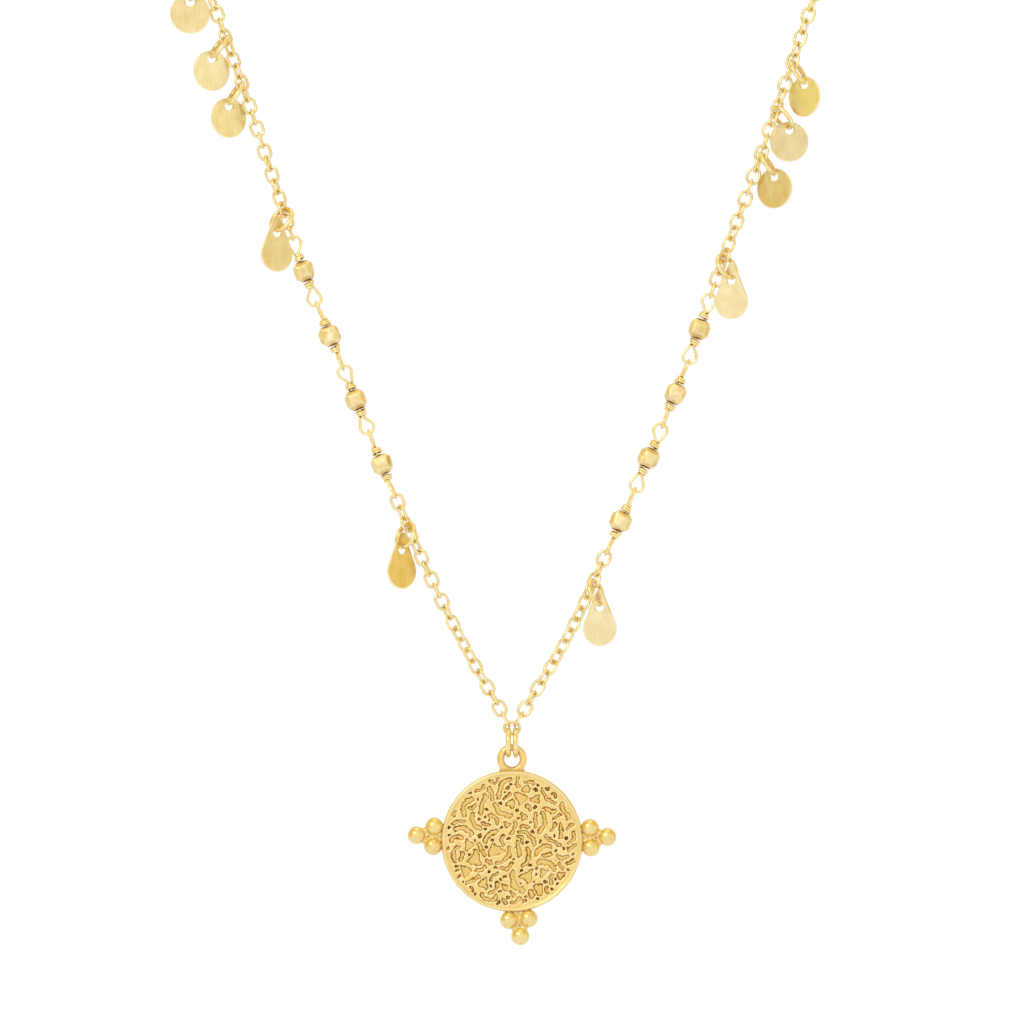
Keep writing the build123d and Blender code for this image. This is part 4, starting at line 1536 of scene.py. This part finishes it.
def add_bail():
    """The thick loop on top with the flared foot that is soldered to the rim."""
    middle = (bail_outer - bail_wire) / 2
    angles = once_round(64)
    circle = np.column_stack([on_circle(middle, angles) + (0, bail_rise), 0 * angles])
    loop = wire_along(circle, bail_wire / 2, 24, True)
    half_foot = bail_foot_width / 2
    outline = [(-half_foot, bail_foot_height), (half_foot, bail_foot_height)]
    for angle in np.radians(np.linspace(-20, -160, 12)):
        outline.append((middle * math.cos(angle), bail_rise + middle * math.sin(angle)))
    thick = 0.42 * bail_wire
    count = len(outline)
    block = [(x, y, z) for z in (thick, -thick) for x, y in outline]
    faces = [tuple(range(count)), tuple(range(2 * count - 1, count - 1, -1))]
    faces += [(i, (i + 1) % count, count + (i + 1) % count, count + i) for i in range(count)]
    skin = soldered("medallion_bail", [loop, (block, faces)], 6)
    points = skin[0]
    inside = smooth_step(middle - np.hypot(points[:, 0], points[:, 1] - bail_rise), 0.1, 0.5)
    foot = bell(points[:, 1] - medallion_diameter / 2, 0.25)
    add_soldered("medallion_bail", skin, 0.35 * foot + 0.15 * inside, 0.15 * (1 - foot), 0.4)


add_bail()

# %% [markdown]
# A granule is a bead of brass that drew itself round when it was melted. Three of them make a
# cluster: two on the rim and a third beyond. Spheres that only touch would look glued, so short
# rods stand for the solder necks between them, and a pool of solder fills the middle and runs to
# the rim. The clusters were tumbled brighter than the disc, so their gloss is full.

# %% Granules
granule_diameter = 2.76
granule_spacing = 2.95
granule_bite = 0.12
granule_outward = 2.55
solder_neck = 1.1
solder_run = 0.4    # Half the distance between the two runs of solder to the rim.


def rod(start, end, diameter):
    """A closed round rod."""
    start, end = np.asarray(start, float), np.asarray(end, float)
    path = start + (end - start) * np.linspace(0, 1, 8)[:, None]
    return wire_along(path, diameter / 2, 20, False)


def ball(centre, diameter):
    """A round ball as points and faces."""
    work = bmesh.new()
    bmesh.ops.create_icosphere(work, subdivisions=4, radius=diameter / 2)
    points = np.array([v.co for v in work.verts]) + centre
    faces = [tuple(v.index for v in face.verts) for face in work.faces]
    work.free()
    return points, faces


def add_granules(name, degrees):
    """Two balls on the rim and a third beyond them, soldered together."""
    radius = medallion_diameter / 2
    inner = radius - rim_width / 2
    across = granule_spacing / 2
    out = math.sqrt((radius + granule_diameter / 2 - granule_bite) ** 2 - across ** 2)
    spots = np.array([(out, -across, 0), (out, across, 0), (out + granule_outward, 0, 0)])
    pool = spots.mean(axis=0)
    parts = [ball(spot, granule_diameter - 0.03) for spot in spots]
    parts += [rod(spots[a], spots[b], solder_neck) for a, b in ((0, 1), (1, 2), (2, 0))]
    parts += [rod(spot, unit(spot) * inner, solder_neck) for spot in spots[:2]]
    parts.append(ball(pool, solder_neck))
    for aside in (-solder_run, solder_run):
        parts.append(rod((out, aside, 0), (inner, aside, 0), 0.8 * solder_neck))
    points, normals, faces = soldered(name, parts, 5)
    # Brown stays where two granules are near, along the rim and over the pool.
    gaps = [np.linalg.norm(points - spot, axis=1) - granule_diameter / 2 for spot in spots]
    second = np.maximum(np.sort(gaps, axis=0)[1], 0)
    to_rim = np.linalg.norm(points, axis=1) - radius
    to_pool = np.hypot(*(points - pool)[:, :2].T)
    patina = np.maximum(0.6 * bell(second, 0.22), 0.6 * bell(to_rim, 0.16))
    patina = np.maximum(patina, 0.7 * bell(to_pool, 0.30))
    points, normals = (
        np.column_stack([turned(rows[:, :2], degrees), rows[:, 2]]) for rows in (points, normals)
    )
    add_soldered(name, (points, normals, faces), patina, 0.25, 1.0)


for label, degrees in (("right", 2.5), ("left", 176.5), ("bottom", -85.0)):
    add_granules(f"medallion_granules_{label}", degrees)

# %% [markdown]
# ## Clasp
#
# The clasp at the nape is hidden in the photograph, so it is one plain turned barrel with an eye
# at each end. A cylinder with bevels would do, but a lathe profile gives the soft shoulders and
# the fine groove, where its halves would screw together, in one go.

# %% Barrel clasp
clasp_length = 9.0
clasp_diameter = 3.2
clasp_eye_wire = 0.6
clasp_eye_outer = 2.6
clasp_sides = 48


def turned_barrel():
    """A closed barrel along X, turned on a lathe."""
    # A hair less than the CAD barrel, which has flat faces and stays inside its own circle.
    radius, half, shoulder = clasp_diameter / 2 - 0.006, clasp_length / 2, clasp_diameter / 4
    end = [(-half, 0.02), (-half, radius - shoulder)]
    for angle in np.radians(np.linspace(80, 0, 6)):
        place = -half + shoulder - shoulder * math.sin(angle)
        end.append((place, radius - shoulder + shoulder * math.cos(angle)))
    groove = [(-0.12, radius), (-0.05, radius - 0.06), (0.05, radius - 0.06), (0.12, radius)]
    profile = end + groove + [(-x, r) for x, r in end[::-1]]
    angles = once_round(clasp_sides)
    points = [[(x, r * math.cos(a), r * math.sin(a)) for a in angles] for x, r in profile]
    faces = grid_faces(len(profile), clasp_sides, False, True)
    last = (len(profile) - 1) * clasp_sides
    faces.append(tuple(range(clasp_sides))[::-1])
    faces.append(tuple(last + index for index in range(clasp_sides)))
    return np.array(points).reshape(-1, 3), faces


def add_clasp():
    """The barrel with both of its eyes."""
    parts = [turned_barrel()]
    reach = clasp_length / 2 + clasp_eye_outer / 2 - clasp_eye_wire
    points, faces = ring_shape(clasp_eye_outer, clasp_eye_wire, 90, 40, 12)
    for sign in (-1, 1):
        centre = np.array((sign * reach, 0, 0))
        parts.append((set_on(points, centre, (1, 0, 0), (0, 1, 0)), faces))
    mesh = mesh_from("barrel_clasp", *joined(parts))
    add_piece("barrel_clasp", mesh, polished_gold, "necklace", ["clasp"])
    print("clasp:", len(mesh.polygons), "faces")


add_clasp()

# %% [markdown]
# ## Light, floor and camera
#
# Polished metal shows only what stands round it. A jeweller photographs it in a white tent, so
# the metal mirrors a tent here: nearly white in front and behind, warm gold at the sides, where
# the necklace mirrors itself and the darker room. The camera and the floor don't see the tent, or
# the whole picture would turn warm, and get a plain white room. The four lamps add to the room's
# light and give soft highlights. Cycles can also pick light from the room by itself, but then it
# can't tell the metal from the floor, so that is switched off, and only rays that really go out
# into the room see it.

# %% Studio
tent_sides = (0.86, 0.68, 0.16, 1)    # Linear colours.
tent_front = (0.96, 0.94, 0.89, 1)
lamp_target = (0.0, -0.091, -0.115)
# Name, place and size in metres, and brightness as of a white card.
lamps = [
    ("front", (0.0, -1.30, 0.10), 1.20, 0.12),
    ("key", (-0.40, -0.62, 0.30), 0.35, 2.2),
    ("top", (0.0, -0.10, 0.55), 0.50, 0.6),
    ("side", (0.60, -0.25, -0.10), 0.30, 0.4),
]


def make_world():
    """A white room to the camera and the floor, and a tent for the metal to mirror."""
    world = bpy.data.worlds.new("room")
    bpy.context.scene.world = world
    world.use_nodes = True
    world.cycles.sampling_method = "NONE"
    tree = world.node_tree
    tree.nodes.clear()
    room = add(tree, "ShaderNodeBackground", {"Color": (1, 1, 1, 1), "Strength": 1.0})
    way = add(tree, "ShaderNodeTexCoord", out="Generated")
    depth = add(tree, "ShaderNodeSeparateXYZ", {0: way}, out=1)
    depth = add(tree, "ShaderNodeMath", {0: depth}, operation="ABSOLUTE")
    share = add(tree, "ShaderNodeMapRange", {0: depth, 1: 0.1, 2: 0.7})
    inputs = {0: share, 6: tent_sides, 7: tent_front}
    colour = add(tree, "ShaderNodeMix", inputs, out=2, data_type="RGBA")
    tent = add(tree, "ShaderNodeBackground", {"Color": colour, "Strength": 1.0})
    mirrored = add(tree, "ShaderNodeLightPath", out="Is Glossy Ray")
    light = add(tree, "ShaderNodeMixShader", {0: mirrored, 1: room, 2: tent})
    add(tree, "ShaderNodeOutputWorld", {"Surface": light})


def area_light(name, place, size, brightness):
    """A soft square light that looks at the necklace."""
    light = bpy.data.lights.new(name, "AREA")
    light.size = size
    light.energy = brightness * math.pi * size ** 2
    lamp = put(name, light)
    lamp.location = place
    way = Vector(lamp_target) - Vector(place)
    lamp.rotation_euler = way.to_track_quat("-Z", "Y").to_euler()
    lamp.visible_camera = False


make_world()
for lamp in lamps:
    area_light(*lamp)
print("lamps:", [lamp[0] for lamp in lamps])

# %% [markdown]
# The floor is a pale plain sheet well below the pendant. A wall could stand behind as well, but
# it would hide the necklace from behind, so there is none.

# %% Floor
floor_height = -0.26
floor_corners = [(-0.6, -0.7), (0.6, -0.7), (0.6, 0.5), (-0.6, 0.5)]
floor_mesh = bpy.data.meshes.new("floor")
floor_mesh.from_pydata([(x, y, floor_height) for x, y in floor_corners], [], [(0, 1, 2, 3)])
floor_finish = bpy.data.materials.new("pale_floor")
floor_finish.use_nodes = True
floor_shader = floor_finish.node_tree.nodes["Principled BSDF"]
feed(floor_finish.node_tree, floor_shader, {"Base Color": linear("#EFEFEF"), "Roughness": 0.7})
floor_mesh.materials.append(floor_finish)
floor = put("floor", floor_mesh)
print("floor at", floor_height, "m")

# %% [markdown]
# The photograph was taken from straight in front with a long lens. It shows 153.6 mm across at
# the depth of the front strands, with its middle 121.8 mm below the nape. The lens is worked out
# from those and from a camera that stands 0.9 m away.

# %% Camera
view_width = 153.6
view_height = -121.8
camera_distance = 900.0
sensor_width = 36
camera_data = bpy.data.cameras.new("camera")
camera_data.sensor_width = sensor_width
camera_data.lens = sensor_width * camera_distance / view_width
camera = put("camera", camera_data)
camera.location = (0, (front_depth - camera_distance) * MM, view_height * MM)
camera.rotation_euler = (math.pi / 2, 0, 0)
bpy.context.scene.camera = camera
bpy.context.scene.view_settings.view_transform = "Standard"
print("lens", round(camera_data.lens, 1), "mm")
